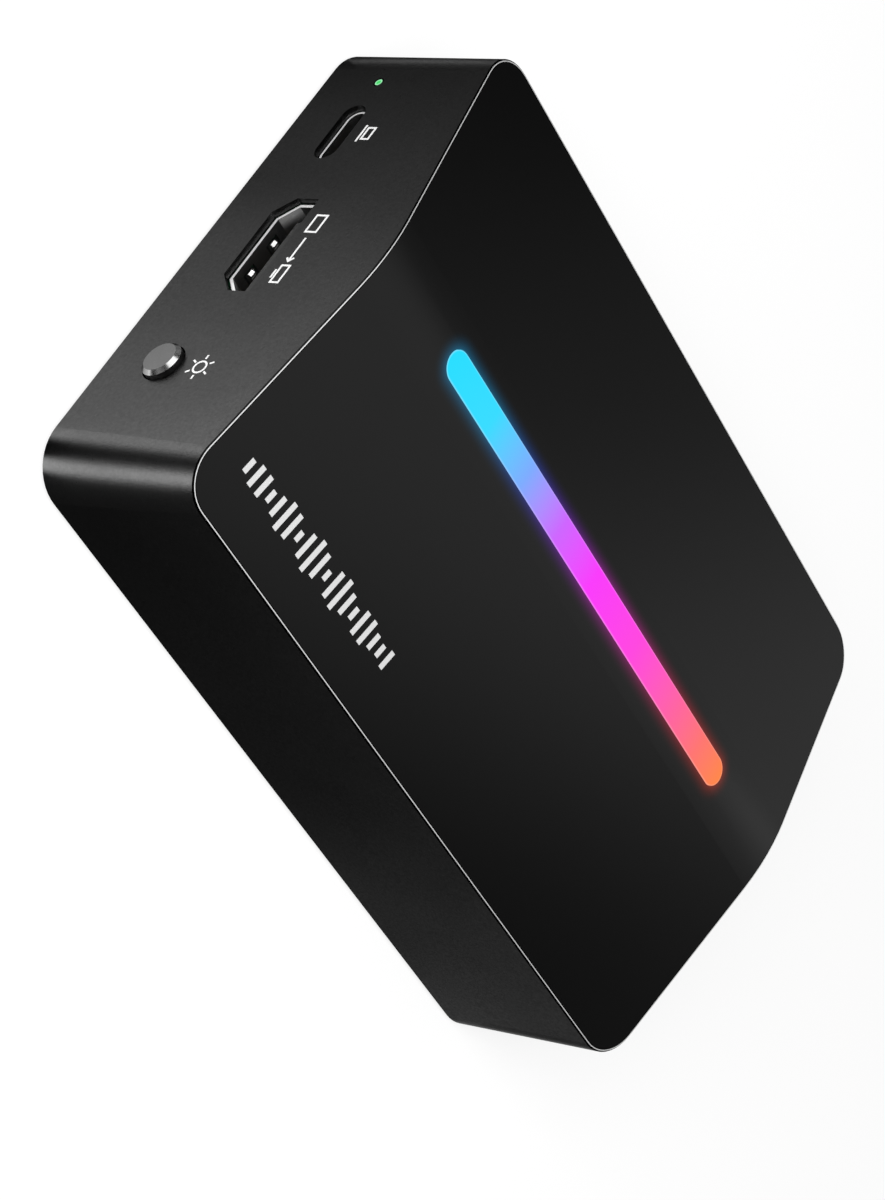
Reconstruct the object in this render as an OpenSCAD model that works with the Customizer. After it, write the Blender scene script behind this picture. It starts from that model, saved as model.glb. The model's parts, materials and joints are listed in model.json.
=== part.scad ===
// Video capture box: a drafted metal frame under a pitched cover, with a light bar along the ridge,
// sockets in both end walls and one push button. X runs along the ridge, Z is up, and the origin
// is under the middle of the box on the surface that the feet rest on.

/* [Body] */
// Length of the frame at the height of its long edges
body_l = 108; // [96:1:130]
// Width of the frame at the height of its long edges
body_w = 71; // [66:1:90]
// Height of the long edges above the underside of the frame
edge_h = 23.4; // [21:0.2:30]
// Rise of the roof from a long edge to the ridge, before the ridge is rounded
ridge_rise = 6.1; // [4:0.1:9]
// Radius that rounds the ridge
ridge_r = 32; // [12:1:50]
// Radius of the upright corners at the long edges
corner_r = 5.3; // [4:0.1:8]
// Lean of the walls, outwards towards the base, in degrees
wall_draft = 2; // [0.5:0.5:3]
// Thickness of the frame's walls
wall = 2; // [1.7:0.1:2.6]
// Thickness of the end walls behind the sockets
port_wall = 0.8; // [0.8:0.1:1.5]
// Width of the bright chamfer along the rim
rim_chamfer = 0.15; // [0.1:0.05:0.5]
// Flat left between the chamfer and the cover
rim_land = 0.15; // [0.1:0.05:0.4]

/* [Cover] */
// Thickness of the roof panel, measured upright
cover_t = 1.6; // [1.2:0.1:2.2]
// Gap round the edge of the roof panel
cover_gap = 0.12; // [0.08:0.02:0.3]
// Adhesive film between the panel and what it is bonded to
bond_t = 0.1; // [0.05:0.05:0.2]
// Width of a snap hook under the panel
hook_w = 6; // [4:0.5:8]
// Thickness of a snap hook
hook_t = 1.2; // [0.8:0.1:1.6]
// Reach of a snap hook below the panel
hook_drop = 4.5; // [4:0.5:6]
// Step of the catch at the end of a snap hook
hook_catch = 0.5; // [0.3:0.1:0.7]
// Distance between the two snap hooks of one long side
hook_spread = 36; // [24:1:50]

/* [Light] */
// Length of the light bar
bar_l = 76; // [60:1:80]
// Width of the light bar
bar_w = 4; // [3:0.1:6]
// Gap round the light bar in its slot
bar_gap = 0.08; // [0.05:0.01:0.2]
// Step of the flange round the light bar, under the panel
bar_lip = 2; // [1.5:0.1:3]
// Thickness of that flange at its edge
bar_lip_t = 0.8; // [0.6:0.1:1.2]
// Height of the white channel between the light board and the bar
channel_h = 3; // [2:0.1:4]
// Wall of the channel
channel_wall = 1; // [0.8:0.1:1.2]
// Width inside the channel
channel_inside = 5.2; // [4.6:0.1:6]
// Thickness of the light board
led_board_t = 1; // [0.8:0.1:1.6]
// Width of the light board
led_board_w = 10; // [8.6:0.2:12]
// Number of light chips
led_count = 12; // [6:1:14]
// Side of a light chip
led_side = 3.5; // [2:0.1:4]
// Height of a light chip
led_h = 1.2; // [0.8:0.1:1.6]
// Distance from the end of the bar to the screw of the light board
led_screw_run = 6; // [5:0.5:7]

/* [Base] */
// Thickness of the base cover
base_t = 1.8; // [1.4:0.1:2.4]
// Width of the frame left round the base cover
base_rim = 1.2; // [0.8:0.1:1.5]
// Gap round the base cover
base_gap = 0.15; // [0.1:0.05:0.3]
// Height of the feet below the base
foot_proud = 1; // [0.6:0.1:2]
// Diameter of a foot
foot_d = 9; // [6:0.5:12]
// Depth of the pocket that holds a foot
foot_pocket = 0.5; // [0.3:0.1:0.8]
// Distance between the feet along the box
foot_spread_l = 86; // [80:1:90]
// Distance between the feet across the box
foot_spread_w = 46; // [40:1:48]
// Radius of a screw boss in the frame
boss_r = 3; // [2.4:0.1:3.6]
// Height of a screw boss
boss_h = 9; // [6:0.5:12]
// Distance of a boss axis from the long edge
boss_edge = 5.6; // [5:0.1:6.4]
// Distance between the bosses along the box
boss_spread = 68; // [60:1:74]

/* [Screws] */
// Radius of a screw's shank
screw_r = 1; // [0.8:0.05:1.2]
// Radius of a screw's head
screw_head_r = 1.8; // [1.5:0.1:2]
// Height of a screw's head
screw_head_h = 1; // [0.8:0.1:1.2]
// Length of a screw's shank
screw_l = 5; // [4:0.5:6]
// Gap round a screw in its hole
screw_gap = 0.06; // [0.04:0.01:0.15]

/* [Main board] */
// Height of the board's top face above the underside of the frame
board_h = 6.9; // [5.8:0.1:7.5]
// Thickness of the board
board_t = 1.6; // [1:0.1:2]
// Gap between the board and the long walls
board_gap = 0.8; // [0.5:0.1:1.5]
// Corner cut off the board
board_corner = 4; // [3:0.5:6]
// Reach of the sockets past the end of the board
board_setback = 1.5; // [1.2:0.1:2]
// Distance between the stand-offs along the box
standoff_spread_l = 52; // [46:1:56]
// Distance between the stand-offs across the box
standoff_spread_w = 50; // [44:1:52]
// Radius of a stand-off
standoff_r = 2.6; // [2.2:0.1:3]

/* [Sockets] */
// Gap between a socket and the end wall behind which it sits
socket_gap = 0.1; // [0.1:0.1:0.6]
// Gap round a wide socket in its cut-out
cutout_gap = 0.2; // [0.15:0.05:0.5]
// Gap round the small socket in its cut-out
usb_cutout_gap = 0.12; // [0.08:0.02:0.3]
// Thickness of the wide sockets' shell
hdmi_wall = 0.4; // [0.3:0.05:0.5]
// Width inside a wide socket
hdmi_w = 14; // [13.9:0.05:14.2]
// Height inside a wide socket
hdmi_h = 4.55; // [4.5:0.05:4.7]
// Width of the flat under a wide socket
hdmi_flat = 9.8; // [9:0.1:11]
// Upright part of a wide socket's sides
hdmi_side = 2.5; // [2.2:0.1:3]
// Depth of a wide socket
hdmi_depth = 11; // [10:0.5:12]
// Lift of the wide sockets off the board
hdmi_lift = 0.8; // [0.6:0.1:1.4]
// Place of the wide output socket across the box
hdmi_out_y = 0.2; // [-2:0.1:2]
// Place of the wide input socket across the box
hdmi_in_y = 14; // [12:0.5:16]
// Thickness of the small socket's shell
usb_wall = 0.3; // [0.2:0.05:0.35]
// Width inside the small socket
usb_w = 8.34; // [8.3:0.01:8.4]
// Height inside the small socket
usb_h = 2.56; // [2.5:0.01:2.6]
// Depth of the small socket
usb_depth = 7.4; // [6.5:0.1:8.5]
// Place of the small socket across the box
usb_y = 19.2; // [18:0.1:21]
// Radius of the bore of an audio jack
jack_bore_r = 1.8; // [1.78:0.01:1.9]
// Depth of that bore
jack_depth = 13; // [12:0.5:14]
// Width of an audio jack
jack_w = 6.4; // [6:0.1:7]
// Radius of the round nose of an audio jack
jack_nose_r = 2.5; // [2.3:0.1:2.7]
// Place of the first audio jack across the box
jack_a_y = -6; // [-8:0.5:-4]
// Distance between the audio jacks
jack_pitch = 14; // [10:0.5:15]

/* [Button] */
// Radius of the button
button_r = 2.55; // [2.2:0.05:3]
// Gap round the button in the end wall
button_gap = 0.2; // [0.1:0.05:0.3]
// Height of the button in front of the end wall
button_proud = 1; // [0.7:0.1:1.5]
// Bevel round the front of the button
button_bevel = 0.45; // [0.2:0.05:0.6]
// Place of the button across the box
button_y = -19.2; // [-20:0.1:-17]
// Height of the button axis above the board
button_lift = 1.9; // [1.9:0.1:2.4]
// Travel of the button
button_travel = 0.4; // [0.2:0.1:0.5]
// Radius of the switch plunger
plunger_r = 0.9; // [0.7:0.1:1]
// Running gap round the plunger
plunger_gap = 0.05; // [0.03:0.01:0.1]
// Radius of the status light
status_r = 0.5; // [0.4:0.05:1]
// Distance of the status light from the long edge
status_edge = 7.6; // [6:0.1:8]
// Height of the status light above the board
status_lift = 1.7; // [1.6:0.1:2]

/* [Chips] */
// Side of the capture chip
capture_side = 15; // [12:0.5:17]
// Height of the capture chip
capture_h = 1.4; // [1:0.1:2]
// Thickness of the thermal pad on the capture chip
pad_t = 0.5; // [0.3:0.1:1]
// Side of the heat sink
sink_side = 20; // [18:0.5:22]
// Height of the heat sink
sink_h = 6; // [4:0.5:7]
// Number of fins on the heat sink
sink_fins = 6; // [4:1:7]
// Width of the flat cable to the light board
cable_w = 5; // [3:0.5:6]
// Thickness of the flat cable
cable_t = 0.4; // [0.3:0.1:0.6]

/* [Hidden] */
$fn = 64;

// Room by which a cut runs past the face that it opens
over = 1;
// Overlap where two shapes of one piece run into each other
bite = 0.3;

// Heights above the ground
frame_low = foot_proud;
base_top = frame_low + base_t;
board_top = frame_low + board_h;
board_low = board_top - board_t;
rim_z = frame_low + edge_h;
roof_peak = rim_z + ridge_rise;

// The roof: two slopes and the arc that joins them
roof_slope = atan(ridge_rise / (body_w / 2));
ridge_centre = roof_peak - ridge_r / cos(roof_slope);
ridge_half = ridge_r * sin(roof_slope);
function roof_z(y) = abs(y) < ridge_half
    ? ridge_centre + sqrt(ridge_r * ridge_r - y * y)
    : roof_peak - abs(y) * tan(roof_slope);

// How far a wall stands out, at a height, from where it is at the long edges
function lean(z) = (rim_z - z) * tan(wall_draft);

// Corner centres
corner_x = body_l / 2 - corner_r;
corner_y = body_w / 2 - corner_r;

// Rim and cover
rim_w = rim_chamfer + rim_land;
cover_drop = cover_t + bond_t;
corner_steps = 10;
ridge_steps = 8;
ridge_facets = 720;

// Light
bar_lip_half = bar_w / 2 + bar_lip;
bar_low = roof_z(bar_lip_half) - cover_drop - bar_lip_t;
led_top = bar_low - channel_h;
led_low = led_top - led_board_t;
led_screw_x = bar_l / 2 + led_screw_run;
led_board_margin = 1;
led_board_l = 2 * (led_screw_x + screw_head_r + led_board_margin);
led_pitch = (bar_l - 2 * channel_wall) / led_count;
led_rim = 0.35;
led_boss_wall = 1.2;
led_boss_r = screw_r + led_boss_wall;

// Ends of the box: outer face, back of the thin wall and front of the sockets
button_z = board_top + button_lift;
status_y = body_w / 2 - status_edge;
status_z = board_top + status_lift;
port_face = body_l / 2 + lean(button_z);
port_back = port_face - port_wall;
socket_x = port_back - socket_gap;
board_end = socket_x - board_setback;
board_side = body_w / 2 + lean(board_top) - wall - board_gap;
pocket_margin = 0.6;
pocket_half = corner_y + pocket_margin;

// Wide sockets
hdmi_slant = atan((hdmi_h - hdmi_side) / ((hdmi_w - hdmi_flat) / 2));
hdmi_low = board_top + hdmi_lift + hdmi_wall;
hdmi_pocket_top = hdmi_low + hdmi_h + hdmi_wall + cutout_gap + over;
hdmi_block = 2.6;
hdmi_tongue_w = 11.4;
hdmi_tongue_t = 1.1;
hdmi_tongue_back = 1.2;
hdmi_contact_w = 0.4;
hdmi_contact_t = 0.12;
hdmi_pitch = 1;
hdmi_row = 10;
hdmi_block_step = 1;
hdmi_block_tail = 1.4;
contact_setback = 0.4;
fit_gap = 0.05;

// Spring leaves of the wide sockets' shells
leaf_in = 1;
leaf_l = 4.5;
leaf_w = 1.6;
leaf_gap = 0.3;
leaf_tip_l = 0.9;
leaf_tip_w = 0.8;
leaf_tip_h = 0.3;
leaf_tip_flat = 0.2;

// Small socket
usb_mid = board_top + usb_wall + usb_h / 2;
usb_block = 1.6;
usb_tongue_w = 6.69;
usb_tongue_t = 0.7;
usb_tongue_back = 0.6;
usb_contact_w = 0.25;
usb_contact_t = 0.06;
usb_pitch = 0.5;
usb_row = 12;

// Legs of the socket shells, which stand in slots of the board
leg_w = 1.6;
leg_gap = 0.15;
hdmi_leg_in = 1;
usb_leg_in = 0.6;
usb_leg_sink = 0.1;

// Audio jacks
jack_shrink = 1;
jack_h = jack_w - jack_shrink;
jack_z = board_top + jack_h / 2;
jack_front = socket_x - socket_gap;
jack_tip = body_l / 2 + lean(jack_z);
jack_floor = 1.5;
jack_back = jack_tip - jack_depth - jack_floor;
jack_ys = [jack_a_y, jack_a_y - jack_pitch];
jack_slot_w = 1;
jack_slot_in = 4.5;
jack_leaf_t = 0.3;
jack_leaf_back = 0.5;
jack_leaf_gap = 0.1;

// Button and switch, along X from the outer face
button_hole_r = button_r + button_gap;
button_seat_gap = 0.1;
button_flange_step = 0.5;
button_flange_r = button_hole_r + button_flange_step;
button_flange_t = 0.7;
button_stem_r = 1.2;
button_flange_x = -port_back + button_seat_gap;
button_stem_l = 1.8;
button_stem_end = button_flange_x + button_flange_t + button_stem_l;
switch_cover_t = 0.2;
switch_room = 0.4;
switch_front = button_stem_end + button_travel + switch_room;
switch_case_front = switch_front + switch_cover_t;
switch_w = 6;
switch_trim = 0.3;
switch_h = 2 * button_lift - switch_trim;
switch_depth = 3.4;
switch_pin = [1.2, 0.8, 0.3];
switch_pin_in = 0.4;
plunger_in = 1;
plunger_spare = 0.2;
plunger_room = plunger_in + button_travel + plunger_spare;

// Status light
status_hole_gap = 0.2;
status_collar_step = 0.6;
status_collar_r = status_r + status_collar_step;
status_collar_t = 0.7;
status_end = 3.2;
status_face = body_l / 2 + lean(status_z);
status_led_t = 1;
status_led_w = 1.6;

// Round mark on a chip's package
mark_r = 0.5;
mark_in = 1.4;
mark_deep = 0.1;

// Chips and the cable
capture_at = [-14, -8];
video_at = [-26, 14];
video_side = 10;
video_h = 1;
memory_at = [8, -8];
memory_size = [9, 13, 1.1];
crystal_at = [-14, 8];
crystal_size = [3.2, 2.5, 0.8];
inductor_side = 4.2;
inductor_h = 2.2;
inductor_cut = 0.7;
inductor_x = -30;
inductor_ys = [-5, -12, -19];
capacitor_r = 2.5;
capacitor_h = 5.4;
capacitor_foot = 0.8;
capacitor_step = 0.1;
capacitor_at = [[26, -12], [26, -19], [-2, 22], [6, 22]];
sink_base = 1.6;
sink_z = board_top + capture_h + pad_t;
fin_share = 0.5;
header_l = 4;
header_h = 2;
header_x = 14;
header_y = 4;
header_grip = 1.2;
header_rim = 0.6;
cable_high = led_low - header_h / 2;
cable_deep = board_top + header_h / 2;
cable_bend = (cable_high - cable_deep) / 2;
cable_run = 1;

// Screws: room past the end in a blind hole, and the cross slot in the head
screw_spare = 0.5;
screw_slot_w = 0.4;
screw_slot_in = 0.8;

// Points that repeat
signs = [-1, 1];
boss_points = [for (i = signs, j = signs) [i * boss_spread / 2, j * (body_w / 2 - boss_edge)]];
foot_points = [for (i = signs, j = signs) [i * foot_spread_l / 2, j * foot_spread_w / 2]];
standoff_points = [for (i = signs, j = signs) [i * standoff_spread_l / 2, j * standoff_spread_w / 2]];

// A block with leaning walls and round upright corners, drawn in by an inset all round
module drafted_block(inset, low, high) {
    r_low = corner_r - inset + lean(low);
    r_high = corner_r - inset + lean(high);
    for (i = signs, j = signs)
        translate([i * corner_x, j * corner_y, low]) cylinder(h = high - low, r1 = r_low, r2 = r_high);
    rotate([90, 0, 90]) linear_extrude(2 * corner_x, center = true)
        wall_section(corner_y, r_low, r_high, low, high);
    rotate([90, 0, 0]) linear_extrude(2 * corner_y, center = true)
        wall_section(corner_x, r_low, r_high, low, high);
}

// Upright section of such a block between two opposite walls
module wall_section(half, r_low, r_high, low, high) {
    polygon([[-half - r_low, low], [half + r_low, low], [half + r_high, high], [-half - r_high, high]]);
}

// Everything under the roof, or under the roof lowered by a drop
module under_roof(drop) {
    rotate([90, 0, 90]) linear_extrude(2 * body_l, center = true) translate([0, -drop]) roof_section();
}

// Section of the roof: slopes, and a circle's segment on the ridge
module roof_section() {
    far = body_w;
    turn = roof_z(ridge_half);
    polygon([
        [-far, -far], [far, -far], [far, roof_z(far)],
        [ridge_half, turn], [-ridge_half, turn], [-far, roof_z(far)]
    ]);
    intersection() {
        translate([0, ridge_centre]) circle(ridge_r, $fn = ridge_facets);
        translate([-ridge_half, turn]) square([2 * ridge_half, ridge_r]);
    }
}

// A bar with round ends, along X
module long_round(length, width, low, high) {
    translate([0, 0, low]) linear_extrude(high - low) {
        square([length - width, width], center = true);
        for (i = signs) translate([i * (length - width) / 2, 0]) circle(width / 2);
    }
}

// Stations along the rim, each with a point and the way out of the box
function corner_stations(i, j, start) = [
    for (k = [0 : corner_steps])
        let (a = start + 90 * k / corner_steps)
        [i * corner_x + corner_r * cos(a), j * corner_y + corner_r * sin(a), cos(a), sin(a)]
];
function ridge_stations(i) = [
    for (k = [0 : ridge_steps]) [i * body_l / 2, i * ridge_half * (2 * k / ridge_steps - 1), i, 0]
];
rim_stations = concat(
    ridge_stations(1), corner_stations(1, 1, 0), corner_stations(-1, 1, 90),
    ridge_stations(-1), corner_stations(-1, -1, 180), corner_stations(1, -1, 270)
);

// A point of the chamfer cutter, out from the rim and up from the roof
function rim_point(s, out, up) =
    let (z = roof_z(s[1]), n = out + lean(z))
    [s[0] + s[2] * n, s[1] + s[3] * n, z + up];

// Ring of three-cornered section that cuts the chamfer along the rim
module rim_cutter() {
    count = len(rim_stations);
    reach = rim_chamfer + bite;
    corners = [[bite, -reach], [-reach, bite], [bite, bite]];
    sides = len(corners);
    points = [for (s = rim_stations, c = corners) rim_point(s, c[0], c[1])];
    faces = [
        for (k = [0 : count - 1], c = [0 : sides - 1])
            let (here = sides * k, next = sides * ((k + 1) % count), d = (c + 1) % sides)
            each [[here + c, next + c, here + d], [here + d, next + c, next + d]]
    ];
    polyhedron(points, faces);
}

// A screw that points up, with its head under the face at height zero
module screw_up(length = screw_l) {
    cylinder(h = length, r = screw_r);
    difference() {
        translate([0, 0, -screw_head_h]) cylinder(h = screw_head_h, r = screw_head_r);
        for (a = [0, 90])
            rotate(a) translate([0, 0, -screw_head_h])
                cube([2 * (screw_head_r - screw_slot_in), screw_slot_w, screw_head_h], center = true);
    }
}

// Outline of a wide socket, grown all round, with its inner flat at height zero
module hdmi_outline(grow) {
    half = hdmi_w / 2 + grow;
    flat = hdmi_flat / 2 + grow * tan(hdmi_slant / 2);
    knee = hdmi_h - hdmi_side - grow * tan((90 - hdmi_slant) / 2);
    polygon([
        [-flat, -grow], [flat, -grow], [half, knee],
        [half, hdmi_h + grow], [-half, hdmi_h + grow], [-half, knee]
    ]);
}

// Outline of the small socket, grown all round
module usb_outline(grow) {
    span = usb_w - usb_h;
    square([span, usb_h + 2 * grow], center = true);
    for (i = signs) translate([i * span / 2, 0]) circle(usb_h / 2 + grow);
}

// Extrudes a socket's outline into the box, from a distance in front of the socket plane
module into_box(start, depth) {
    translate([-socket_x + start, 0, 0]) rotate([90, 0, 90]) linear_extrude(depth) children();
}

// Puts a socket that was drawn for the near end at the far end
module far_end() {
    mirror([1, 0, 0]) children();
}

// Two leaves of shell that stand in the board, each side of a socket
module shell_legs(half, top, grow, starts) {
    for (j = signs, x = starts)
        translate([-socket_x + x - grow, j * half - (j > 0 ? grow : hdmi_wall + grow), board_low - grow])
            cube([leg_w + 2 * grow, hdmi_wall + 2 * grow, top - board_low + grow]);
}

module hdmi_legs(grow) {
    starts = [board_setback + hdmi_leg_in, hdmi_depth - leg_w - hdmi_leg_in];
    shell_legs(hdmi_w / 2, hdmi_low + hdmi_h / 2, grow, starts);
}

module usb_legs(grow) {
    starts = [board_setback + usb_leg_in, usb_depth - leg_w - usb_leg_in];
    shell_legs(usb_w / 2 - usb_leg_sink, usb_mid, grow, starts);
}

// Metal shell of a wide socket, with two spring leaves cut in its floor and roof
module hdmi_shell() {
    difference() {
        union() {
            translate([0, 0, hdmi_low]) into_box(0, hdmi_depth) difference() {
                hdmi_outline(hdmi_wall);
                hdmi_outline(0);
            }
            difference() {
                hdmi_legs(0);
                translate([0, 0, hdmi_low]) into_box(-over, hdmi_depth + 2 * over)
                    hdmi_outline(hdmi_wall / 2);
            }
        }
        leaf_places() leaf_slit();
    }
    leaf_places() leaf_tip();
}

// Puts a spring leaf in the middle of the shell's floor and roof, each side of a wide socket
module leaf_places() {
    for (j = signs, up = [0, 1])
        translate([-socket_x + leaf_in, j * hdmi_flat / 4, hdmi_low + hdmi_h / 2])
            mirror([0, 0, up]) translate([0, 0, -(hdmi_h + hdmi_wall) / 2]) children();
}

// Three-sided slit that frees one spring leaf of a wide socket's shell
module leaf_slit() {
    difference() {
        translate([0, -leaf_w / 2 - leaf_gap, -hdmi_wall])
            cube([leaf_l + leaf_gap, leaf_w + 2 * leaf_gap, 2 * hdmi_wall]);
        translate([leaf_gap, -leaf_w / 2, -2 * hdmi_wall]) cube([leaf_l + over, leaf_w, 4 * hdmi_wall]);
    }
}

// Raised tip of a spring leaf, which presses on a plug
module leaf_tip() {
    top = hdmi_wall / 2 + leaf_tip_h;
    slope = (leaf_tip_l - leaf_tip_flat) / 2;
    translate([leaf_gap, leaf_tip_w / 2, 0]) rotate([90, 0, 0]) linear_extrude(leaf_tip_w)
        polygon([
            [0, 0], [leaf_tip_l, 0], [leaf_tip_l, hdmi_wall / 2],
            [leaf_tip_l - slope, top], [slope, top], [0, hdmi_wall / 2]
        ]);
}

// Moulding that closes the back of a wide socket and carries its tongue
module hdmi_tongue() {
    mid = hdmi_low + hdmi_h / 2;
    translate([0, 0, hdmi_low]) into_box(hdmi_depth - hdmi_block, hdmi_block + bite) hdmi_outline(-fit_gap);
    translate([-socket_x + hdmi_depth, -hdmi_w / 2 + hdmi_block_step, board_top])
        cube([hdmi_block_tail, hdmi_w - 2 * hdmi_block_step, hdmi_low + hdmi_h - fit_gap - board_top]);
    translate([-socket_x + hdmi_tongue_back, -hdmi_tongue_w / 2, mid - hdmi_tongue_t / 2])
        cube([hdmi_depth - hdmi_block - hdmi_tongue_back + bite, hdmi_tongue_w, hdmi_tongue_t]);
}

// Two rows of contact strips on the tongue of a wide socket
module hdmi_contacts() {
    contact_rows(hdmi_low + hdmi_h / 2, hdmi_tongue_t, hdmi_row, hdmi_pitch, hdmi_contact_w, hdmi_contact_t,
        hdmi_tongue_back + contact_setback, hdmi_depth - hdmi_block, 1);
}

// Strips over and under a tongue, with fewer below
module contact_rows(mid, tongue_t, row, pitch, width, thick, front, back, fewer) {
    for (up = [0, 1], k = [0 : row - 1 - (1 - up) * fewer])
        translate([
            -socket_x + front,
            (k - (row - 1 - (1 - up) * fewer) / 2) * pitch - width / 2,
            mid + (up == 1 ? tongue_t / 2 : -tongue_t / 2 - thick)
        ]) cube([back - front, width, thick]);
}

// Bore, nose and moulded case of an audio jack at the far end
module audio_jack(y) {
    difference() {
        union() {
            translate([jack_back, y - jack_w / 2, board_top])
                cube([jack_front - jack_back, jack_w, jack_h]);
            translate([jack_front - bite, y, jack_z]) rotate([0, 90, 0])
                cylinder(h = jack_tip - jack_front + bite, r = jack_nose_r);
        }
        translate([jack_tip - jack_depth, y, jack_z]) rotate([0, 90, 0])
            cylinder(h = jack_depth + over, r = jack_bore_r);
        for (j = signs)
            translate([jack_slot_start(), y + j * (jack_bore_r + jack_slot_room()), jack_z])
                cube([jack_slot_in, 2 * jack_slot_room(), jack_slot_w], center = true);
    }
}

function jack_slot_start() = (jack_front + jack_back) / 2;
function jack_slot_room() = (jack_w / 2 - jack_bore_r + over) / 2;

// A leaf spring that lies in a side slot of an audio jack, behind the bore
module jack_leaf(y, j) {
    translate([jack_slot_start(), y + j * (jack_bore_r + jack_leaf_back), jack_z])
        cube([jack_slot_in - 2 * jack_leaf_gap, jack_leaf_t, jack_slot_w - jack_leaf_gap], center = true);
}

// Metal band round the box: leaning walls, seats for both covers, sockets' cut-outs and screw bosses
module body_frame() {
    color("#1c1c1e") difference() {
        intersection() {
            union() {
                difference() {
                    drafted_block(0, frame_low, roof_peak + over);
                    drafted_block(wall, frame_low - over, roof_peak + 2 * over);
                }
                frame_bosses();
            }
            under_roof(0);
        }
        difference() {
            drafted_block(rim_w, rim_z - 2 * cover_drop, roof_peak + 2 * over);
            under_roof(cover_drop);
        }
        drafted_block(base_rim, frame_low - over, base_top);
        for (p = boss_points)
            translate([p[0], p[1], base_top - over]) cylinder(h = screw_l + over, r = screw_r + screw_gap);
        end_pockets();
        near_cutouts();
        far_cutouts();
        hook_pockets();
        rim_cutter();
    }
}

// Upright bosses on the long walls, each on a web
module frame_bosses() {
    for (p = boss_points) {
        out = sign(p[1]);
        translate([p[0], p[1], frame_low]) cylinder(h = base_t + boss_h, r = boss_r);
        translate([p[0] - boss_r, out > 0 ? p[1] : -body_w / 2 + wall / 2, frame_low])
            cube([2 * boss_r, boss_edge - wall / 2, base_t + boss_h]);
    }
}

// Flat-backed pockets that thin the end walls behind the sockets
module end_pockets() {
    for (i = signs)
        translate([i > 0 ? body_l / 4 : -port_back, -pocket_half, frame_low - over])
            cube([port_back - body_l / 4, 2 * pocket_half, hdmi_pocket_top - frame_low + over]);
}

module near_cutouts() {
    through = 2 * socket_gap + 2 * wall;
    translate([0, hdmi_out_y, hdmi_low]) into_box(-through, through) hdmi_outline(hdmi_wall + cutout_gap);
    translate([0, usb_y, usb_mid]) into_box(-through, through) usb_outline(usb_wall + usb_cutout_gap);
    translate([-socket_x - through, button_y, button_z]) rotate([0, 90, 0])
        cylinder(h = through, r = button_hole_r);
    translate([-socket_x - through, status_y, status_z]) rotate([0, 90, 0])
        cylinder(h = through, r = status_r + status_hole_gap);
}

module far_cutouts() {
    through = 2 * socket_gap + 2 * wall;
    far_end() translate([0, hdmi_in_y, hdmi_low]) into_box(-through, through)
        hdmi_outline(hdmi_wall + cutout_gap);
    for (y = jack_ys)
        translate([socket_x, y, jack_z]) rotate([0, 90, 0])
            cylinder(h = through, r = jack_nose_r + button_gap);
}

// Snap hooks: where they hang, and the pockets that their catches enter
hook_out = body_w / 2 - wall - cover_gap;
hook_low = rim_z - cover_drop - hook_drop;
hook_catch_h = 1.6;

module hook_places() {
    for (i = signs, j = [0, 1]) mirror([0, j, 0]) translate([i * hook_spread / 2, 0, 0]) children();
}

module hook_pockets() {
    deep = hook_catch + 2 * cover_gap + lean(hook_low);
    hook_places() translate([-hook_w / 2 - cover_gap, hook_out, hook_low - cover_gap])
        cube([hook_w + 2 * cover_gap, deep, hook_catch_h + 2 * cover_gap]);
}

module snap_hooks() {
    hook_places() {
        translate([-hook_w / 2, hook_out - hook_t, hook_low])
            cube([hook_w, hook_t, roof_z(hook_out) - cover_t / 2 - hook_low]);
        translate([-hook_w / 2, hook_out - bite, hook_low]) rotate([90, 0, 90]) linear_extrude(hook_w)
            polygon([
                [0, 0], [bite, 0], [bite + hook_catch, hook_catch_h / 2],
                [bite + hook_catch, hook_catch_h], [0, hook_catch_h]
            ]);
    }
}

// Pitched panel with the slot for the light bar, snap hooks and two bosses for the light board
module top_cover() {
    color("#141416") difference() {
        union() {
            intersection() {
                drafted_block(rim_w + cover_gap, rim_z - 2 * cover_t, roof_peak + over);
                difference() {
                    under_roof(0);
                    under_roof(cover_t);
                }
            }
            snap_hooks();
            for (i = signs)
                translate([i * led_screw_x, 0, led_top])
                    cylinder(h = roof_z(0) - cover_t / 2 - led_top, r = led_boss_r);
        }
        long_round(bar_l + 2 * bar_gap, bar_w + 2 * bar_gap, bar_low, roof_peak + over);
        for (i = signs)
            translate([i * led_screw_x, 0, led_top - over])
                cylinder(h = screw_l - led_board_t + over, r = screw_r + screw_gap);
    }
}

// Base plate with pockets for the feet, screw holes and stand-offs for the main board
module base_cover() {
    color("#18181a") difference() {
        union() {
            drafted_block(base_rim + base_gap, frame_low, base_top);
            for (p = standoff_points)
                translate([p[0], p[1], base_top - bite])
                    cylinder(h = board_low - base_top + bite, r = standoff_r);
        }
        for (p = foot_points)
            translate([p[0], p[1], frame_low - over])
                cylinder(h = foot_pocket + over, r = foot_d / 2 + base_gap);
        for (p = boss_points) translate([p[0], p[1], frame_low - over]) {
            cylinder(h = base_t + 2 * over, r = screw_r + screw_gap);
            cylinder(h = screw_head_h + over, r = screw_head_r + base_gap);
        }
        for (p = standoff_points)
            translate([p[0], p[1], frame_low + bite])
                cylinder(h = board_top - frame_low, r = screw_r + screw_gap);
    }
}

// Feet with a rounded lower edge
module rubber_feet() {
    ease = foot_proud / 2;
    color("#101010") for (p = foot_points) translate([p[0], p[1], 0]) rotate_extrude() {
        translate([0, ease]) square([foot_d / 2, foot_proud + foot_pocket - ease]);
        square([foot_d / 2 - ease, ease + bite / 2]);
        intersection() {
            translate([foot_d / 2 - ease, ease]) circle(ease);
            translate([foot_d / 2 - ease, 0]) square(ease);
        }
    }
}

module base_screws() {
    color("#3a3a3c") for (p = boss_points) translate([p[0], p[1], frame_low + screw_head_h]) screw_up();
}

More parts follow.
